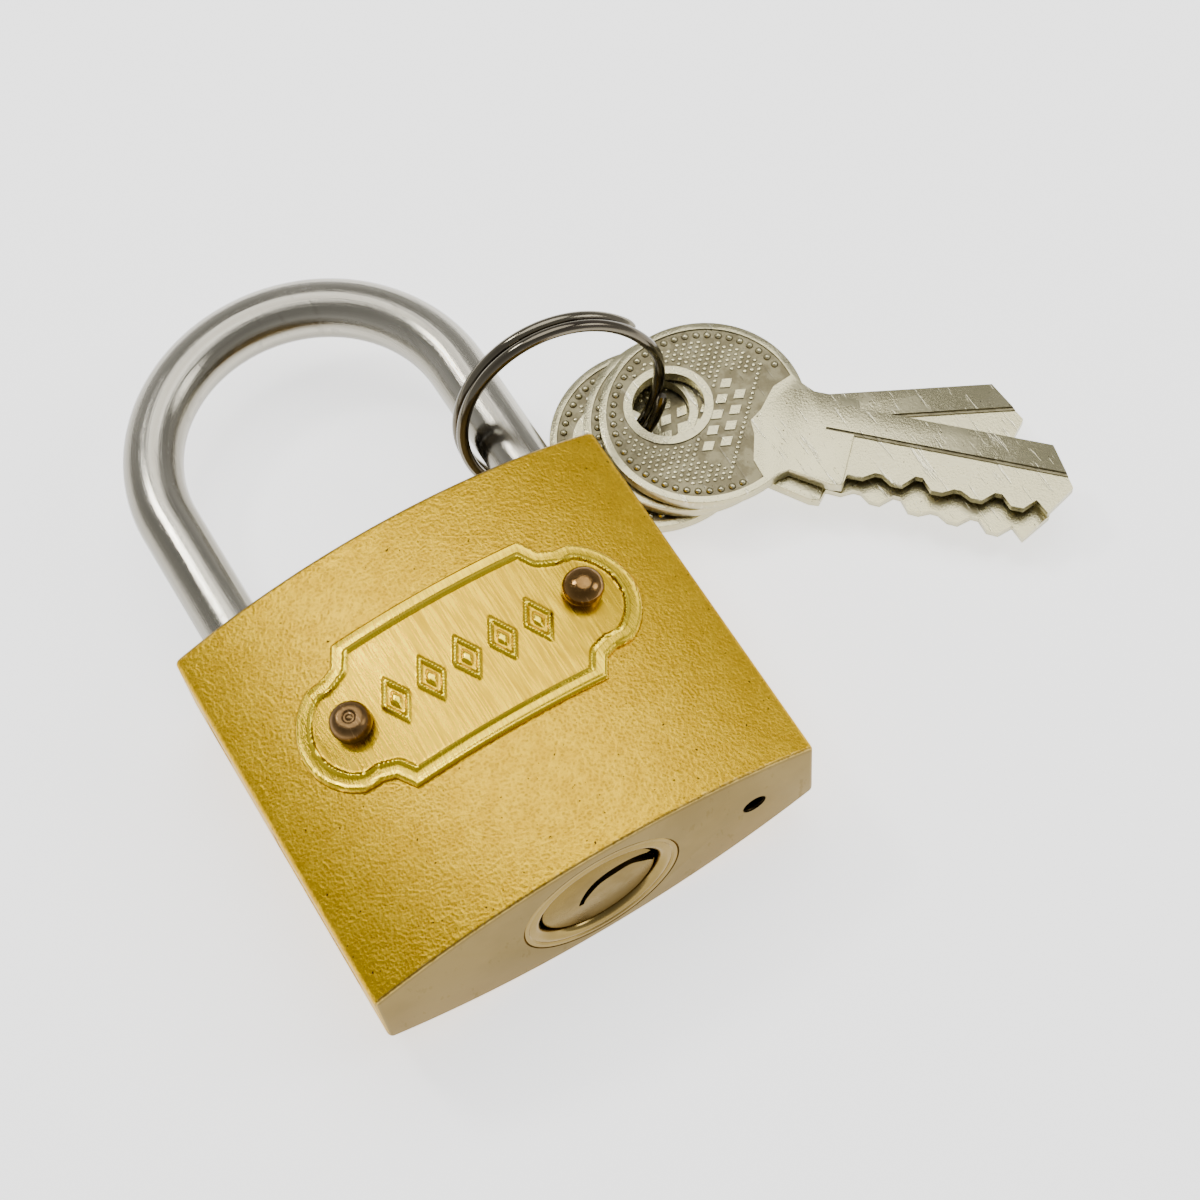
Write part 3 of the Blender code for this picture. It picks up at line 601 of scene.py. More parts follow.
# %% [markdown]
# The case
#
# In section the case is a lens with its two tips cut off. The working model draws that lens with
# flat strips, and here it gets a much finer arc through the same heights. The rims are rounded first
# and the block is drilled afterwards, so that no hole grows a soft lip.

# %% Case: lens section and rounded rims
side_edge = 4.0 * MM
crown_rise = (body_high.z - body_low.z) / 2 - side_edge
crown_radius = (half_width ** 2 + crown_rise ** 2) / (2 * crown_rise)


def crown(x):
    """Height of the front face's arc above the narrow side's edge."""
    return math.sqrt(crown_radius ** 2 - x * x) - (crown_radius - crown_rise)


crown_steps = 96
stations = [half_width * (2 * k / crown_steps - 1) for k in range(crown_steps + 1)]
front_line = [(x, -(side_edge + crown(x))) for x in stations]
lens = front_line + [(-x, -y) for x, y in front_line]
case = punched("case", lens, body_low.y, body_high.y)
case.data.transform(Matrix.Translation((0, 0, mid_z)) @ TOWARDS_Y)
rims = case.modifiers.new("rims", "BEVEL")
rims.width = 0.42 * MM
rims.segments = 5
rims.limit_method = "ANGLE"
rims.angle_limit = math.radians(40)
settle(case)
print("case section points:", len(lens), "crown radius mm:", round(crown_radius / MM, 1))


# %% Case: drillings
def bore(radius, start, end, direction, sides=64, flare=0.0):
    """A drill from one depth to another, with its mouth at the far end, flared if asked."""
    profile = [(0, start), (radius, start), (radius, end - 3 * flare)]
    if flare:
        profile += [(radius + 2 * flare, end)]
    else:
        profile += [(radius, end)]
    tool = turned("drill", profile + [(0, end)], sides=sides)
    tool.data.transform(direction)
    return tool


over = 1.0 * MM
leg_bore = bar_radius + 0.2 * MM
heel_floor = shackle_low.y - 4.7 * MM
toe_floor = latch_mid.y - 4.1 * MM
cam_room = 4.1 * MM
latch_bore = 2.15 * MM
rivet_bore = 1.1 * MM
rivet_depths = {"rivet_left": 11.2 * MM, "rivet_right": 2.7 * MM}
axis_line = Matrix.Translation((0, 0, mid_z)) @ TOWARDS_Y
heel_line = Matrix.Translation((leg_x, 0, mid_z)) @ TOWARDS_Y
toe_line = Matrix.Translation((-leg_x, 0, mid_z)) @ TOWARDS_Y
drills = [
    bore(sleeve_radius + 0.03 * MM, body_low.y - over, sleeve_high.y + 1.6 * MM, axis_line, 96),
    bore(cam_room, sleeve_high.y + over, latch_mid.y - over, axis_line),
    bore(leg_bore, heel_floor, body_high.y + 0.1 * MM, heel_line, flare=0.1 * MM),
    bore(leg_bore, toe_floor, body_high.y + 0.1 * MM, toe_line, flare=0.1 * MM),
    bore(drain_radius, body_low.y - over, heel_floor + over, heel_line, 40),
]
latch_line = Matrix.Translation((0, latch_mid.y, mid_z)) @ TOWARDS_X
drills.append(bore(latch_bore, -half_width - over, latch_high.x + 3.8 * MM, latch_line))
for place in pin_places:
    line = Matrix.Translation((0, place, mid_z)) @ TOWARDS_X
    drills.append(bore(pin_bore, -half_width - over, -sleeve_radius + 0.5 * MM, line, 40))
for name, depth in rivet_depths.items():
    spot = span(name)[2]
    line = Matrix.Translation((spot.x, spot.y, 0))
    drills.append(bore(rivet_bore, depth, body_high.z + over, line, 40))
strip_low, strip_high, _ = span("chamber_cover")
groove_gap = Vector((0.1, 0.1, 0.1)) * MM
groove_low, groove_high = strip_low - groove_gap, strip_high + groove_gap
slot_corners = [(-half_width - over, groove_low.y), (groove_high.x, groove_low.y),
                (groove_high.x, groove_high.y), (-half_width - over, groove_high.y)]
drills.append(punched("groove", slot_corners, groove_low.z, groove_high.z))
carve(case, drills)
soften(case, 30)
case.data.materials.append(case_metal)
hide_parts("body")
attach(case, "case")
print("case faces:", len(case.data.polygons))

# %% [markdown]
# The nameplate, struck from one sheet
#
# The plate has two straight edges, a lobe at each end and a small step between them. Its border and
# its row of lozenges were pressed up from behind. A stamping like that is a height map, so the
# plate is a fine grid whose height comes from the distance to its outline. Cutting the grid
# with the outline gives it the clean sheared edge.

# %% Nameplate: outline and distance to it
plate_low, plate_high, plate_mid = span("nameplate")
plate_half = (plate_high.y - plate_low.y) / 2
straight = 8.3 * MM
lobe_radius = 5.5 * MM
lobe_x = plate_high.x - lobe_radius


def plate_outline(steps=20):
    """The plate's edge about its own middle, anticlockwise."""
    shelf = lobe_radius - 0.55 * MM
    quarter = arc(lobe_x, 0, lobe_radius, 0, 62, steps)
    quarter += [(lobe_x + 1.1 * MM, shelf), (lobe_x + 0.2 * MM, shelf + 0.35 * MM), (straight, plate_half)]
    upper = quarter + [(-x, y) for x, y in reversed(quarter)]
    return upper + [(x, -y) for x, y in reversed(upper)][1:-1]


def edge_distance(points, outline):
    """Distance from each point to the nearest edge of an outline."""
    starts = np.array(outline)
    ends = np.roll(starts, -1, axis=0)
    best = np.full(len(points), 1.0)
    for a, b in zip(starts, ends):
        edge = b - a
        share = np.clip(((points - a) @ edge) / edge.dot(edge), 0, 1)
        best = np.minimum(best, np.linalg.norm(points - a - share[:, None] * edge, axis=1))
    return best


def ease(value, low, high):
    share = np.clip((value - low) / (high - low), 0, 1)
    return share * share * (3 - 2 * share)


print("plate outline points:", len(plate_outline()))

# %% Nameplate: the pressed relief
sheet = 0.26 * MM
border_rise = 0.24 * MM
motif_rise = 0.22 * MM
lozenges = [3.1 * MM * k for k in (-2, -1, 0, 1, 2)]


def relief(points):
    """Height of the plate's face above its back, at points about its middle."""
    inward = edge_distance(points, plate_outline())
    rim = ease(inward, 0.03 * MM, 0.2 * MM) * (1 - ease(inward, 0.3 * MM, 0.5 * MM))
    band = ease(inward, 0.02 * MM, 0.3 * MM) * (1 - ease(inward, 1.25 * MM, 1.5 * MM))
    ridge = ease(inward, 0.95 * MM, 1.15 * MM) * (1 - ease(inward, 1.28 * MM, 1.46 * MM))
    raised = np.maximum(np.maximum(0.42 * band, 0.62 * rim), ridge)
    pattern = np.zeros(len(points))
    for middle in lozenges:
        size = np.abs(points[:, 0] - middle) / (1.2 * MM) + np.abs(points[:, 1]) / (2.2 * MM)
        line = 1 - ease(np.abs(size - 0.86), 0.06, 0.2)
        centre = 1 - ease(size, 0.26, 0.42)
        pattern = np.maximum(pattern, np.maximum(line, centre))
    height = sheet * (0.55 + 0.45 * ease(inward, 0.0, 0.14 * MM))
    height = height + border_rise * raised + motif_rise * pattern
    return height, np.maximum(raised, pattern)


def make_plate():
    step = 0.125 * MM
    reach_x, reach_y = plate_high.x + 0.3 * MM, plate_half + 0.3 * MM
    xs = np.arange(-reach_x, reach_x + step, step)
    ys = np.arange(-reach_y, reach_y + step, step)
    grid = np.array([(x, y) for y in ys for x in xs])
    height, raised = relief(grid)
    under = np.array([mid_z + side_edge + crown(x) + 0.03 * MM for x in grid[:, 0]])
    top = np.column_stack([grid[:, 0], grid[:, 1] + plate_mid.y, under + height])
    back = np.column_stack([grid[:, 0], grid[:, 1] + plate_mid.y, under])
    width, depth = len(xs), len(ys)
    count = width * depth
    faces = []
    for row in range(depth - 1):
        for k in range(width - 1):
            a = row * width + k
            faces.append((a, a + 1, a + width + 1, a + width))
            faces.append((count + a, count + a + width, count + a + width + 1, count + a + 1))
    border = list(range(width)) + [row * width + width - 1 for row in range(1, depth)]
    border += [count - 1 - k for k in range(1, width)] + [row * width for row in range(depth - 2, 0, -1)]
    for a, b in zip(border, border[1:] + border[:1]):
        faces.append((a, a + count, b + count, b))
    mesh = bpy.data.meshes.new("plate")
    mesh.from_pydata(np.concatenate([top, back]).tolist(), [], faces)
    store = mesh.attributes.new("raised", "FLOAT", "POINT")
    store.data.foreach_set("value", np.concatenate([raised, np.zeros(count)]))
    piece = bpy.data.objects.new("plate", mesh)
    bpy.context.scene.collection.objects.link(piece)
    stamp = punched("stamp", plate_outline(), body_mid.z, body_high.z + over)
    stamp.data.transform(Matrix.Translation((0, plate_mid.y, 0)))
    carve(piece, [stamp], "INTERSECT")
    holes = []
    for name in rivet_depths:
        spot = span(name)[2]
        line = Matrix.Translation((spot.x, spot.y, 0))
        holes.append(bore(1.08 * MM, body_mid.z, body_high.z + over, line, 48))
    return carve(piece, holes)


plate = soften(make_plate(), 40)
plate.data.materials.append(plate_metal)
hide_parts("nameplate")
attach(plate, "case")
print("plate faces:", len(plate.data.polygons))

# %% [markdown]
# Two rivets
#
# Both heads are turned shapes. The left one was set flat by its punch, which left a ring on it.
# The right one is a dome on a long shank, and that shank is also what keeps the shackle in.

# %% Rivets
def make_rivet(name, body, metal_for_it):
    low, high, middle = span(name)
    radius = (high.x - low.x) / 2
    top = high.z
    seat = top - 1.35 * MM
    shank, collar = 1.0 * MM, 1.42 * MM
    foot = seat - 0.8 * MM
    if name == "rivet_right":
        head = [(radius * math.sin(a), seat + 0.3 * MM + (top - seat - 0.3 * MM) * math.cos(a))
                for a in np.linspace(0, math.pi / 2, 16)]
    else:
        head = [(0, top - 0.06 * MM), (0.2 * MM, top - 0.07 * MM), (0.3 * MM, top - 0.16 * MM),
                (0.42 * MM, top - 0.16 * MM), (0.5 * MM, top - 0.04 * MM), (0.62 * MM, top),
                (0.95 * MM, top - 0.03 * MM), (1.2 * MM, top - 0.14 * MM), (1.45 * MM, top - 0.36 * MM),
                (radius - 0.04 * MM, top - 0.7 * MM), (radius, top - 1.0 * MM)]
    profile = head + [(radius, seat + 0.12 * MM), (radius - 0.12 * MM, seat), (collar, seat - 0.05 * MM),
                      (collar, foot), (shank, foot), (shank, low.z + 0.2 * MM),
                      (shank - 0.2 * MM, low.z), (0, low.z)]
    piece = turned(name + "_head", profile, sides=64)
    piece.data.transform(Matrix.Translation((middle.x, middle.y, 0)))
    soften(piece, 40)
    piece.data.materials.append(metal_for_it)
    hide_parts(name)
    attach(piece, body)
    return piece


for name, finish in (("rivet_left", flat_rivet_metal), ("rivet_right", dome_rivet_metal)):
    print("rivet:", make_rivet(name, "case", finish).name)

# %% [markdown]
# Sleeve and plug
#
# The sleeve is a tube with a rolled lip. The plug is a solid bar inside it, sunk just below the lip.
# Its keyway is a curved slot that is narrow at one end and runs out through the rim at the other.
# The slot's outline is an arc whose half-width changes on the way.

# %% Sleeve
def make_sleeve():
    low, high = sleeve_low.y, sleeve_high.y
    bore_radius = plug_radius + 0.2 * MM
    lip = [(bore_radius + 0.62 * MM * (1 - math.cos(a)), low + 0.62 * MM * (1 - math.sin(a)))
           for a in np.linspace(0, math.pi / 2, 10)]
    profile = [(sleeve_radius, high), (sleeve_radius, low + 0.14 * MM), (sleeve_radius - 0.12 * MM, low),
               (sleeve_radius - 0.42 * MM, low)]
    profile += [(sleeve_radius - 0.55 * MM, low + 0.1 * MM)] + lip[::-1] + [(bore_radius, high)]
    piece = turned("sleeve", profile, closed=True, sides=96)
    piece.data.transform(axis_line)
    holes = []
    for place in pin_places:
        line = Matrix.Translation((sleeve_mid.x, place, mid_z)) @ TOWARDS_X
        holes.append(bore(pin_bore, -sleeve_radius - over, -plug_radius + 0.6 * MM, line, 40))
    return carve(piece, holes)


sleeve = soften(make_sleeve(), 35)
sleeve.data.materials.append(sleeve_metal)
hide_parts("cylinder_housing")
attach(sleeve, "case")
print("sleeve faces:", len(sleeve.data.polygons))


# %% Plug with its keyway
def keyway_outline():
    """A curved slot seen from the keyway face, thin on the left, full at the top, open at the rim."""
    centre_x, centre_y, radius, steps = 1.9 * MM, 1.5 * MM, 3.6 * MM, 40
    outside, inside = [], []
    for k in range(steps + 1):
        share = k / steps
        angle = math.radians(-172 + 148 * share)
        half = MM * (0.22 + 0.3 * float(ease(np.array(share), 0.1, 0.4)))
        ward = 0.16 * MM * math.sin(3 * math.pi * share) ** 2
        for line, reach in ((outside, radius + half), (inside, radius - half - ward)):
            line.append((centre_x + reach * math.cos(angle), centre_y + reach * math.sin(angle)))
    return outside + inside[::-1]


def make_plug():
    low, high = plug_low.y, plug_high.y
    edge = 0.32 * MM
    groove = plug_radius - 0.8 * MM
    clip_low, clip_high, _ = span("retaining_clip")
    profile = [(0, high), (plug_radius - 0.1 * MM, high), (plug_radius, high - 0.1 * MM),
               (plug_radius, clip_high.y + 0.1 * MM), (groove, clip_high.y + 0.1 * MM),
               (groove, clip_low.y - 0.1 * MM), (plug_radius, clip_low.y - 0.1 * MM),
               (plug_radius, low + edge), (plug_radius - 0.09 * MM, low + 0.11 * MM),
               (plug_radius - edge, low), (0, low)]
    piece = turned("plug_core", profile, sides=96)
    piece.data.transform(axis_line)
    slot = punched("keyway", keyway_outline(), low - over, low + 16.6 * MM)
    slot.data.transform(axis_line)
    tools = [slot]
    for place in pin_places:
        line = Matrix.Translation((0, place, 0))
        tools.append(bore(pin_bore, mid_z + 1.0 * MM, mid_z + plug_radius + over, line, 40))
    tang = 1.4 * MM
    corners = [(-tang, -tang), (tang, -tang), (tang, tang), (-tang, tang)]
    socket = punched("socket", corners, high - 1.0 * MM, high + over)
    socket.data.transform(axis_line)
    return carve(piece, tools + [socket])


plug_core = soften(make_plug(), 32)
plug_core.data.materials.append(core_metal)
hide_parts("plug")
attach(plug_core, "cylinder_plug")
print("plug faces:", len(plug_core.data.polygons))

# %% [markdown]
# The shackle
#
# One bar, two straight legs and a half circle between them. The bar's radius drops where the long
# leg has its neck, and both tips are chamfered. The notch for the latch is a flat: every point of
# the short leg beyond it is simply pressed back onto that flat.

# %% Shackle
def make_shackle():
    right, left = shackle_low.y, toe_tip
    neck_top = span("rivet_right")[2].y + 1.3 * MM
    neck_low = right + 1.7 * MM
    neck = 1.78 * MM
    tiny = 0.03 * MM
    heights = [(right, bar_radius - 0.5 * MM), (right + 0.5 * MM, bar_radius), (neck_low - tiny, bar_radius),
               (neck_low, neck), (neck_top, neck), (neck_top + tiny, bar_radius)]
    path = [(leg_x, y, mid_z) for y, _ in heights]
    radii = [radius for _, radius in heights]
    for y in np.linspace(neck_top + 1.0 * MM, arch_y, 8)[:-1]:
        path.append((leg_x, y, mid_z))
        radii.append(bar_radius)
    for x, y in arc(0, arch_y, leg_x, 0, 180, 96):
        path.append((x, y, mid_z))
        radii.append(bar_radius)
    notch = latch_radius + 0.3 * MM
    reaches = (notch + 1.0 * MM, notch + tiny, notch, -notch, -notch - tiny)
    lower = [(notch_y + reach, bar_radius) for reach in reaches]
    lower += [(left + 0.5 * MM, bar_radius), (left, bar_radius - 0.5 * MM)]
    for y, radius in lower:
        path.append((-leg_x, y, mid_z))
        radii.append(radius)
    piece = swept("bow", path, radii, 64)
    flat = -leg_x + bar_radius - 1.5 * MM
    for vertex in piece.data.vertices:
        if vertex.co.x < 0 and abs(vertex.co.y - notch_y) < notch + 0.5 * tiny:
            vertex.co.x = min(vertex.co.x, flat)
    return piece


toe_tip = latch_mid.y - 3.6 * MM
notch_y = latch_mid.y
latch_radius = (latch_high.y - latch_low.y) / 2
bow = soften(make_shackle(), 35)
bow.data.materials.append(shackle_metal)
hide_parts("shackle")
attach(bow, "shackle")
print("shackle faces:", len(bow.data.polygons))

# %% [markdown]
# The split ring
#
# A split ring is two flat turns of wire lying side by side, with one short place where the wire
# crosses from the first turn to the second. That crossing is where a key is threaded on. The path
# is worked out by the same rule as in the working model, with more points.

# %% Split ring
ring_axis = Vector((-0.14, -0.96, 0.235)).normalized()
ring_radius = 8.8 * MM
ring_wire = 0.5 * MM
ring_centre = Vector((18.8, 21.25, 9.15)) * MM


def ring_path(count=300):
    across = Vector((0, 0, 1)).cross(ring_axis).normalized()
    upward = ring_axis.cross(across)
    upward = upward if upward.z > 0 else -upward
    across = across if across.x > 0 else -across
    end, crossing, gap = (math.radians(a) for a in (-18, 40, 6))
    start = end + crossing + 2 * gap
    sweep = 4 * math.pi - (start - end)
    path = []
    for k in range(count + 1):
        turn = sweep * k / count
        share = min(1.0, max(0.0, (turn - (2 * math.pi - gap) + crossing) / crossing))
        side = 1.08 * MM * (share * share * (3 - 2 * share) - 0.5)
        angle = start + turn
        outwards = math.cos(angle) * across + math.sin(angle) * upward
        path.append(ring_centre + ring_radius * outwards + side * ring_axis)
    return path


points_on_ring = ring_path()
taper = [0.72, 0.9, 1.0]
ring_radii = [ring_wire] * len(points_on_ring)
for k, share in enumerate(taper):
    ring_radii[k] = ring_wire * share
    ring_radii[-1 - k] = ring_wire * share
split_ring = soften(swept("split_ring", points_on_ring, ring_radii, 24), 40)
split_ring.data.materials.append(ring_metal)
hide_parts("key_ring")
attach(split_ring, "key_ring")
print("ring faces:", len(split_ring.data.polygons))

# %% [markdown]
# The keys: stamping a blank
#
# All three keys come from one blank. It has a round bow with an eye, a flared neck and a blade with
# four cuts. The bow's field is sunk below a rim, a collar round the eye and a plain shield at the
# neck. Making it once about its own eye and copying it keeps the three identical.

# %% Key blank
key_thickness = 1.1 * MM
bow_x = 2.95 * MM
bow_radius = 8.7 * MM
eye_radius = 3.05 * MM
key_length = 34.1 * MM
blade_root = 15.7 * MM
blade_half = 3.1 * MM
neck_half = 3.9 * MM
key_cuts = ((18.4, 0.6), (21.7, 1.0), (25.0, 0.5), (28.3, 0.9))
field_sink = 0.15 * MM
mill_depth = 0.3 * MM
mill_edge = 0.5 * MM


def key_outline():
    shoulder = blade_root - 0.9 * MM
    points = arc(bow_x, 0, bow_radius, 31, 329, 90)
    points += [(shoulder - 3.6 * MM, -neck_half), (shoulder, -neck_half - 0.6 * MM),
               (blade_root, -neck_half - 0.5 * MM), (blade_root + 0.2 * MM, -blade_half)]
    for middle, depth in key_cuts:
        x, rise = middle * MM, depth * MM
        points += [(x - 1.2 * MM, -blade_half), (x - 0.3 * MM, rise - blade_half),
                   (x + 0.3 * MM, rise - blade_half), (x + 1.2 * MM, -blade_half)]
    points += [(key_length - 3.6 * MM, -blade_half), (key_length - 2.7 * MM, 1.0 * MM - blade_half),
               (key_length - 1.6 * MM, -blade_half), (key_length, -0.4 * MM),
               (key_length - 2.3 * MM, blade_half)]
    return points + [(blade_root, blade_half), (blade_root - 0.3 * MM, neck_half),
                     (shoulder - 3.2 * MM, neck_half)]


def field_outline():
    """The sunk field of the bow: a disc with a shield-shaped bite on the blade's side."""
    radius = bow_radius - 0.62 * MM
    disc = arc(bow_x, 0, radius, 38, 322, 80)
    shield = [(bow_x + 5.2 * MM, -3.6 * MM), (bow_x + 4.7 * MM, -1.2 * MM), (bow_x + 4.1 * MM, 0),
              (bow_x + 4.7 * MM, 1.2 * MM), (bow_x + 5.2 * MM, 3.6 * MM)]
    return disc + shield


def strip_cut(name, start, lower, end, upper, bottom, top):
    """A straight cutter along the blade, from one end to the other and between two sides."""
    return punched(name, [(start, lower), (end, lower), (end, upper), (start, upper)], bottom, top)


def make_blank():
    blank = punched("blank", key_outline(), 0, key_thickness)
    rounded = blank.modifiers.new("edges", "BEVEL")
    rounded.width = 0.09 * MM
    rounded.segments = 2
    rounded.limit_method = "ANGLE"
    rounded.angle_limit = math.radians(60)
    settle(blank)
    fields = []
    for bottom, top in ((key_thickness - field_sink, key_thickness + over), (-over, field_sink)):
        field = punched("field", field_outline(), bottom, top)
        collar = punched("collar", arc(0, 0, eye_radius + 0.72 * MM, 0, 355, 71), bottom - over, top + over)
        fields.append(carve(field, [collar]))
    mill_top = key_thickness - mill_depth
    far = 2 * key_length
    mill = strip_cut("mill", blade_root, -2 * neck_half, far, mill_edge, mill_top, key_thickness + over)
    line = strip_cut("line", blade_root - 2.4 * MM, mill_edge, far, mill_edge + 0.25 * MM,
                     mill_top + 0.12 * MM, key_thickness + over)
    under = strip_cut("under", blade_root, 0.9 * MM, far, 1.7 * MM, -over, 0.2 * MM)
    eye = bore(eye_radius, -over, key_thickness + over, Matrix.Identity(4), 72)
    return carve(blank, fields + [mill, line, under, eye])


blank = make_blank()
print("blank faces:", len(blank.data.polygons))

# %% [markdown]
# Beads and dots by Geometry Nodes
#
# The field is filled with hundreds of tiny domes, and a ring of larger beads runs inside the rim.
# Both repeat by a rule, so a node tree makes them: a grid with every other row shifted, and a
# circle. Points that would land on the collar, the shield or the rows of plain bars are dropped
# before anything is placed on them, and the instances are made real at the end.

# %% Geometry Nodes helpers
def new_tree(name, inputs):
    """A geometry tree with named inputs, its input sockets and its output socket."""
    tree = bpy.data.node_groups.new(name, "GeometryNodeTree")
    for label, kind in inputs:
        tree.interface.new_socket(label, in_out="INPUT", socket_type=kind)
    tree.interface.new_socket("Geometry", in_out="OUTPUT", socket_type="NodeSocketGeometry")
    return tree, tree.nodes.new("NodeGroupInput").outputs, tree.nodes.new("NodeGroupOutput").inputs


def run_tree(name, tree, values):
    """Run a tree on an empty object and keep the plain mesh that it makes."""
    host = bpy.data.objects.new(name, bpy.data.meshes.new(name))
    bpy.context.scene.collection.objects.link(host)
    modifier = host.modifiers.new(name, "NODES")
    modifier.node_group = tree
    for item in tree.interface.items_tree:
        if item.in_out == "INPUT" and item.name in values:
            modifier[item.identifier] = values[item.name]
    return settle(host)


def greater(tree, first, second):
    """One where the first value is the larger."""
    return sums(tree, "GREATER_THAN", first, second)


print("tree helpers ready")

# %% Tree: stamped field
field_tree, given, result = new_tree("stamped field", [
    ("Spacing", FLOAT), ("Dot", FLOAT), ("Bead", FLOAT), ("Beads", "NodeSocketInt"), ("Bow radius", FLOAT),
    ("Bow centre", FLOAT), ("Eye radius", FLOAT), ("Level", FLOAT), ("Finish", "NodeSocketMaterial")])
columns = 32
rows = put(field_tree, "GeometryNodeMeshGrid", Vertices_X=columns, Vertices_Y=columns,
           Size_X=times(field_tree, given["Spacing"], columns - 1.0),
           Size_Y=times(field_tree, given["Spacing"], (columns - 1) * 0.866))
index = put(field_tree, "GeometryNodeInputIndex").outputs[0]
row_number = sums(field_tree, "FLOOR", sums(field_tree, "DIVIDE", index, float(columns)))
row_parity = sums(field_tree, "MODULO", row_number, 2.0)
half_step = times(field_tree, times(field_tree, given["Spacing"], 0.5), row_parity)
shift = put(field_tree, "ShaderNodeCombineXYZ", X=given["Bow centre"], Y=half_step)
moved = put(field_tree, "GeometryNodeSetPosition", Geometry=rows.outputs["Mesh"], Offset=shift.outputs[0])
position = put(field_tree, "GeometryNodeInputPosition").outputs[0]
px, py, _ = put(field_tree, "ShaderNodeSeparateXYZ", Vector=position).outputs
from_bow = hypotenuse(field_tree, minus(field_tree, px, given["Bow centre"]), py)
from_eye = hypotenuse(field_tree, px, py)
rim_limit = minus(field_tree, given["Bow radius"], 1.75 * MM)
shield_limit = plus(field_tree, given["Bow centre"], 4.0 * MM)
bar_middle = plus(field_tree, given["Bow centre"], 1.9 * MM)
off_rim = greater(field_tree, from_bow, rim_limit)
off_eye = greater(field_tree, plus(field_tree, given["Eye radius"], 0.95 * MM), from_eye)
off_shield = greater(field_tree, px, shield_limit)
near_bar = sums(field_tree, "ABSOLUTE", minus(field_tree, px, bar_middle))
in_bar = times(field_tree, greater(field_tree, 1.25 * MM, near_bar),
              greater(field_tree, 4.6 * MM, sums(field_tree, "ABSOLUTE", py)))
dropped = sums(field_tree, "MAXIMUM", sums(field_tree, "MAXIMUM", off_rim, off_eye),
               sums(field_tree, "MAXIMUM", off_shield, in_bar))
kept = put(field_tree, "GeometryNodeDeleteGeometry", {"domain": "POINT"}, Geometry=moved.outputs[0],
           Selection=dropped)
dome = put(field_tree, "GeometryNodeMeshUVSphere", Segments=7, Rings=4, Radius=given["Dot"])
dots = put(field_tree, "GeometryNodeInstanceOnPoints", Points=kept.outputs[0], Instance=dome.outputs["Mesh"])
print("tree so far:", len(field_tree.nodes), "nodes")

# %% Tree: beads round the rim, and the way out
circle = put(field_tree, "GeometryNodeMeshCircle", Vertices=given["Beads"],
             Radius=minus(field_tree, given["Bow radius"], 1.18 * MM))
to_bow = put(field_tree, "ShaderNodeCombineXYZ", X=given["Bow centre"])
placed = put(field_tree, "GeometryNodeSetPosition", Geometry=circle.outputs["Mesh"], Offset=to_bow.outputs[0])
past_shield = greater(field_tree, px, plus(field_tree, shield_limit, 1.3 * MM))
bead_kept = put(field_tree, "GeometryNodeDeleteGeometry", {"domain": "POINT"}, Geometry=placed.outputs[0],
                Selection=past_shield)
ball = put(field_tree, "GeometryNodeMeshUVSphere", Segments=12, Rings=7, Radius=given["Bead"])
beads = put(field_tree, "GeometryNodeInstanceOnPoints", Points=bead_kept.outputs[0],
            Instance=ball.outputs["Mesh"])
both = put(field_tree, "GeometryNodeJoinGeometry")
for part in (dots, beads):
    field_tree.links.new(part.outputs[0], both.inputs[0])
lift = put(field_tree, "ShaderNodeCombineXYZ", Z=given["Level"])
real = put(field_tree, "GeometryNodeRealizeInstances", Geometry=both.outputs[0])
raised_field = put(field_tree, "GeometryNodeSetPosition", Geometry=real.outputs[0], Offset=lift.outputs[0])
painted = put(field_tree, "GeometryNodeSetMaterial", Geometry=raised_field.outputs[0],
              Material=given["Finish"])
feed(field_tree, result["Geometry"], painted.outputs[0])
field_values = {"Spacing": 0.56 * MM, "Dot": 0.225 * MM, "Bead": 0.33 * MM, "Beads": 50,
                "Bow radius": bow_radius, "Bow centre": bow_x, "Eye radius": eye_radius, "Finish": key_metal}
print("tree finished:", len(field_tree.nodes), "nodes")


# %% [markdown]
# Joining the relief to the blank
#
# The domes are sunk so that only their caps stand above the field. Every point then learns how deep
# it lies below the key's face, which tells the material where to paint the key darker.

# %% Finish the key and set the three copies in place
def plain_bars(level, top):
    """Two rows of short raised bars across the bow, plain, where a maker would strike words."""
    bars = []
    for offset, count in ((1.25, 5), (2.6, 4)):
        x = bow_x + offset * MM
        for k in range(count):
            y = 1.55 * MM * (k - (count - 1) / 2)
            corners = [(x - 0.4 * MM, y - 0.55 * MM), (x + 0.4 * MM, y - 0.3 * MM),
                       (x + 0.4 * MM, y + 0.55 * MM), (x - 0.4 * MM, y + 0.3 * MM)]
            bars.append(punched("bar", corners, level, top))
    return bars


def make_key_mesh():
    shapes = [blank]
    for face, sign in ((key_thickness, 1), (0.0, -1)):
        level = face - sign * (field_sink + 0.06 * MM)
        shapes.append(run_tree("relief", field_tree, dict(field_values, Level=level)))
        low, high = sorted((face - sign * (field_sink + 0.02 * MM), face - sign * 0.04 * MM))
        shapes += plain_bars(low, high)
    form = bmesh.new()
    for shape in shapes:
        form.from_mesh(shape.data)
        bpy.data.objects.remove(shape)
    heights = np.array([vertex.co.z for vertex in form.verts])
    mesh = bpy.data.meshes.new("key")
    form.to_mesh(mesh)
    form.free()
    depth = np.minimum(key_thickness - heights, heights)
    sunk = ease(depth, 0.07 * MM, 0.14 * MM) * (depth < 0.22 * MM)
    store = mesh.attributes.new("sunk", "FLOAT", "POINT")
    store.data.foreach_set("value", sunk.astype(float))
    mesh.materials.clear()
    mesh.materials.append(key_metal)
    return mesh


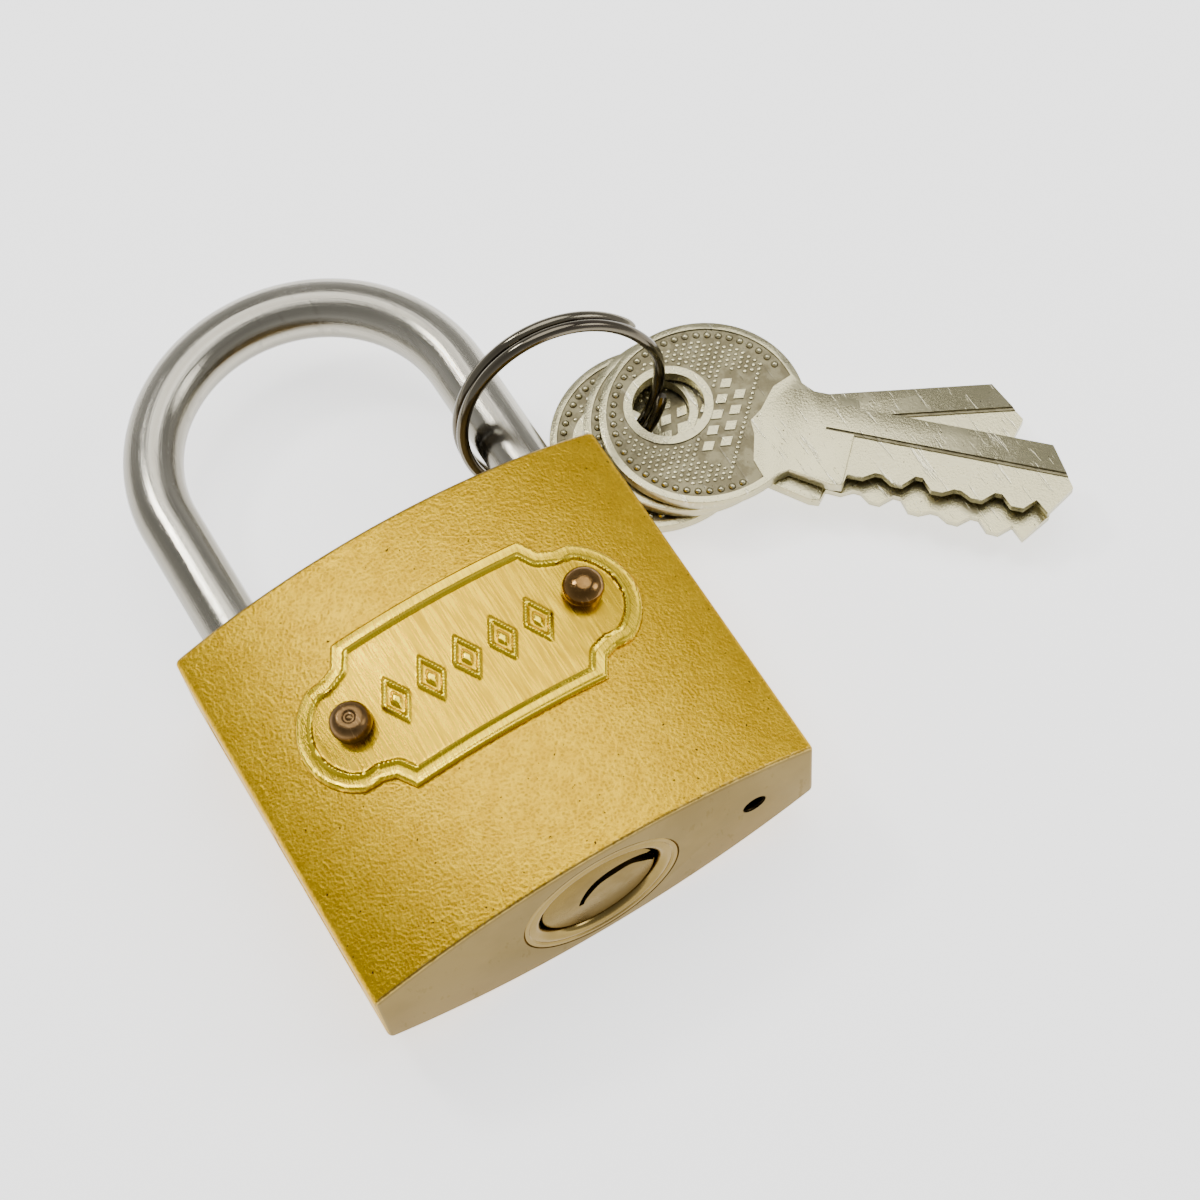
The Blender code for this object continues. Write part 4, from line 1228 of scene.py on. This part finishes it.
key_mesh = make_key_mesh()
joints = {joint["name"]: joint for joint in frame["joints"]}
headings = {"key_1": -45.5, "key_2": -49.0, "key_3": -29.0}
for name, degrees in headings.items():
    eye = Vector(joints[name + "_swing"]["pos_m"])
    eye.z = span(name)[0].z
    key = bpy.data.objects.new(name + "_stamped", key_mesh.copy())
    bpy.context.scene.collection.objects.link(key)
    key.data.transform(Matrix.Translation(eye) @ Matrix.Rotation(math.radians(degrees), 4, "Z"))
    soften(key, 38)
    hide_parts(name)
    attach(key, name)
    print("key:", key.name, "faces:", len(key.data.polygons))

# %% [markdown]
# Springs by Geometry Nodes
#
# A coil is the plainest thing that follows a path: a spiral with a small circle carried along it.
# One tree serves all six springs, and only its inputs differ. The springs can only be seen through
# the bores, but they are real pieces and get real wire.

# %% Tree: coil
coil_tree, given, result = new_tree(
    "coil", [("Radius", FLOAT), ("Wire", FLOAT), ("Length", FLOAT), ("Turns", FLOAT),
             ("Finish", "NodeSocketMaterial")])
spiral = put(coil_tree, "GeometryNodeCurveSpiral", Resolution=28, Rotations=given["Turns"],
             Start_Radius=given["Radius"], End_Radius=given["Radius"], Height=given["Length"])
section = put(coil_tree, "GeometryNodeCurvePrimitiveCircle", Resolution=12, Radius=given["Wire"])
tube = put(coil_tree, "GeometryNodeCurveToMesh", Curve=spiral.outputs[0], Profile_Curve=section.outputs[0],
           Fill_Caps=True)
real_tube = put(coil_tree, "GeometryNodeRealizeInstances", Geometry=tube.outputs[0])
painted = put(coil_tree, "GeometryNodeSetMaterial", Geometry=real_tube.outputs[0], Material=given["Finish"])
feed(coil_tree, result["Geometry"], painted.outputs[0])
print("tree:", coil_tree.name)


# %% Springs
def make_spring(node, axis_name, wire_radius, turns):
    low, high, middle = span(node)
    size = high - low
    length = size[axis_name] - 2 * wire_radius
    outer = max(size[k] for k in range(3) if k != axis_name) / 2
    values = {"Radius": outer - wire_radius, "Wire": wire_radius, "Length": length, "Turns": float(turns),
              "Finish": spring_metal}
    coil = run_tree(node + "_coil", coil_tree, values)
    turn = TOWARDS_X if axis_name == 0 else TOWARDS_Y
    start = middle.copy()
    start[axis_name] = low[axis_name] + wire_radius
    coil.data.transform(Matrix.Translation(start) @ turn)
    form = bmesh.new()
    form.from_mesh(coil.data)
    bmesh.ops.recalc_face_normals(form, faces=form.faces)
    form.to_mesh(coil.data)
    form.free()
    soften(coil, 40)
    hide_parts(node)
    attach(coil, "case")
    return coil


make_spring("shackle_spring", 1, 0.3 * MM, 4)
make_spring("latch_spring", 0, 0.2 * MM, 4)
for n in pin_numbers:
    make_spring(f"pin_spring_{n}", 0, 0.15 * MM, 5)
print("springs made: 6")

# %% [markdown]
# Pieces that keep their working shape
#
# The pins, the latch, the cam, the clip and the two closing pieces are already right in the working
# model. They only need their metal, so the plain material in each one's slot is changed.

# %% Finish the carried-over pieces
carried = {"latch": pin_brass, "cam": pin_steel, "retaining_clip": pin_steel, "chamber_cover": case_metal,
           "latch_bore_plug": case_metal}
carried.update({f"key_pin_{n}": pin_brass for n in pin_numbers})
carried.update({f"driver_pin_{n}": pin_steel for n in pin_numbers})
for name, finish in carried.items():
    for slot in frame["nodes"][name].material_slots:
        slot.material = finish
print("carried over:", len(carried))

# %% [markdown]
# Floor, light and camera
#
# Metal shows what surrounds it, so the room matters more than the lamps. Round soft panels give the
# highlights, and the room fades from pale near the floor to grey overhead, which gives the bar and
# the ring their dark lines. The floor is plain and pale. The camera looks down on the lock from its
# keyway end.

# %% Floor and room
floor_form = bmesh.new()
bmesh.ops.create_grid(floor_form, x_segments=1, y_segments=1, size=1.5)
floor = keep("floor", floor_form)
floor.data.transform(Matrix.Translation((0, 0, -0.02 * MM)))
if floor.data.polygons[0].normal.z < 0:
    floor.data.flip_normals()
floor_paint = bpy.data.materials.new("pale floor")
floor_paint.use_nodes = True
paint = floor_paint.node_tree.nodes["Principled BSDF"]
paint.inputs["Base Color"].default_value = (0.92, 0.92, 0.92, 1)
paint.inputs["Roughness"].default_value = 0.9
paint.inputs["Specular IOR Level"].default_value = 0.1
paint.inputs["Emission Color"].default_value = (1, 1, 1, 1)
paint.inputs["Emission Strength"].default_value = 1.5
floor.data.materials.append(floor_paint)
room = bpy.data.worlds.new("room")
room.use_nodes = True
bpy.context.scene.world = room
sky = room.node_tree
direction = put(sky, "ShaderNodeTexCoord").outputs["Generated"]
height = put(sky, "ShaderNodeSeparateXYZ", Vector=direction).outputs[2]
tone = between(sky, height, -0.1, 0.9, 0.9, 0.42)
background = sky.nodes["Background"]
grey = put(sky, "ShaderNodeCombineXYZ")
for k in range(3):
    feed(sky, grey.inputs[k], tone)
feed(sky, background.inputs["Color"], grey.outputs[0])
background.inputs["Strength"].default_value = 0.8
print("floor and room ready")


# %% Lights
def panel(name, place, aim, size, power):
    """A round soft panel that faces its aim."""
    light = bpy.data.lights.new(name, "AREA")
    light.shape = "DISK"
    light.size = size
    light.energy = power
    holder = bpy.data.objects.new(name, light)
    bpy.context.scene.collection.objects.link(holder)
    holder.location = Vector(place)
    holder.rotation_euler = (Vector(aim) - Vector(place)).to_track_quat("-Z", "Y").to_euler()
    return holder


target = (0.012, 0.005, 0.006)
panel("broad panel", (0.09, 0.10, 0.38), target, 0.34, 0.95)
panel("side panel", (0.28, -0.12, 0.26), target, 0.16, 0.35)
panel("spark panel", (-0.08, 0.20, 0.30), target, 0.07, 0.36)
print("lights:", 3)

# %% Camera
camera_data = bpy.data.cameras.new("camera")
camera_data.lens = 79.26
camera_data.clip_start = 0.01
camera = bpy.data.objects.new("camera", camera_data)
bpy.context.scene.collection.objects.link(camera)
azimuth, elevation, roll = (math.radians(a) for a in (-23.15, 63.42, 8.6))
reach = 0.2103
aim = Vector((0.01253, 0.00478, 0.008))
level_reach = math.cos(elevation)
back = Vector((math.sin(azimuth) * level_reach, -math.cos(azimuth) * level_reach, math.sin(elevation)))
right = Vector((0, 0, 1)).cross(back).normalized()
up = back.cross(right)
tilted_right = right * math.cos(roll) - up * math.sin(roll)
tilted_up = up * math.cos(roll) + right * math.sin(roll)
facing = Matrix((tilted_right, tilted_up, back)).transposed().to_4x4()
camera.matrix_world = Matrix.Translation(aim + back * reach) @ facing
bpy.context.scene.camera = camera
print("camera at mm:", [round(v / MM, 1) for v in camera.location])

# %% [markdown]
#
# The visible surfaces have to fill the same box as the working model, or a part that fits on the
# bench would not fit in the hand.

# %% Finish
print("scene built")
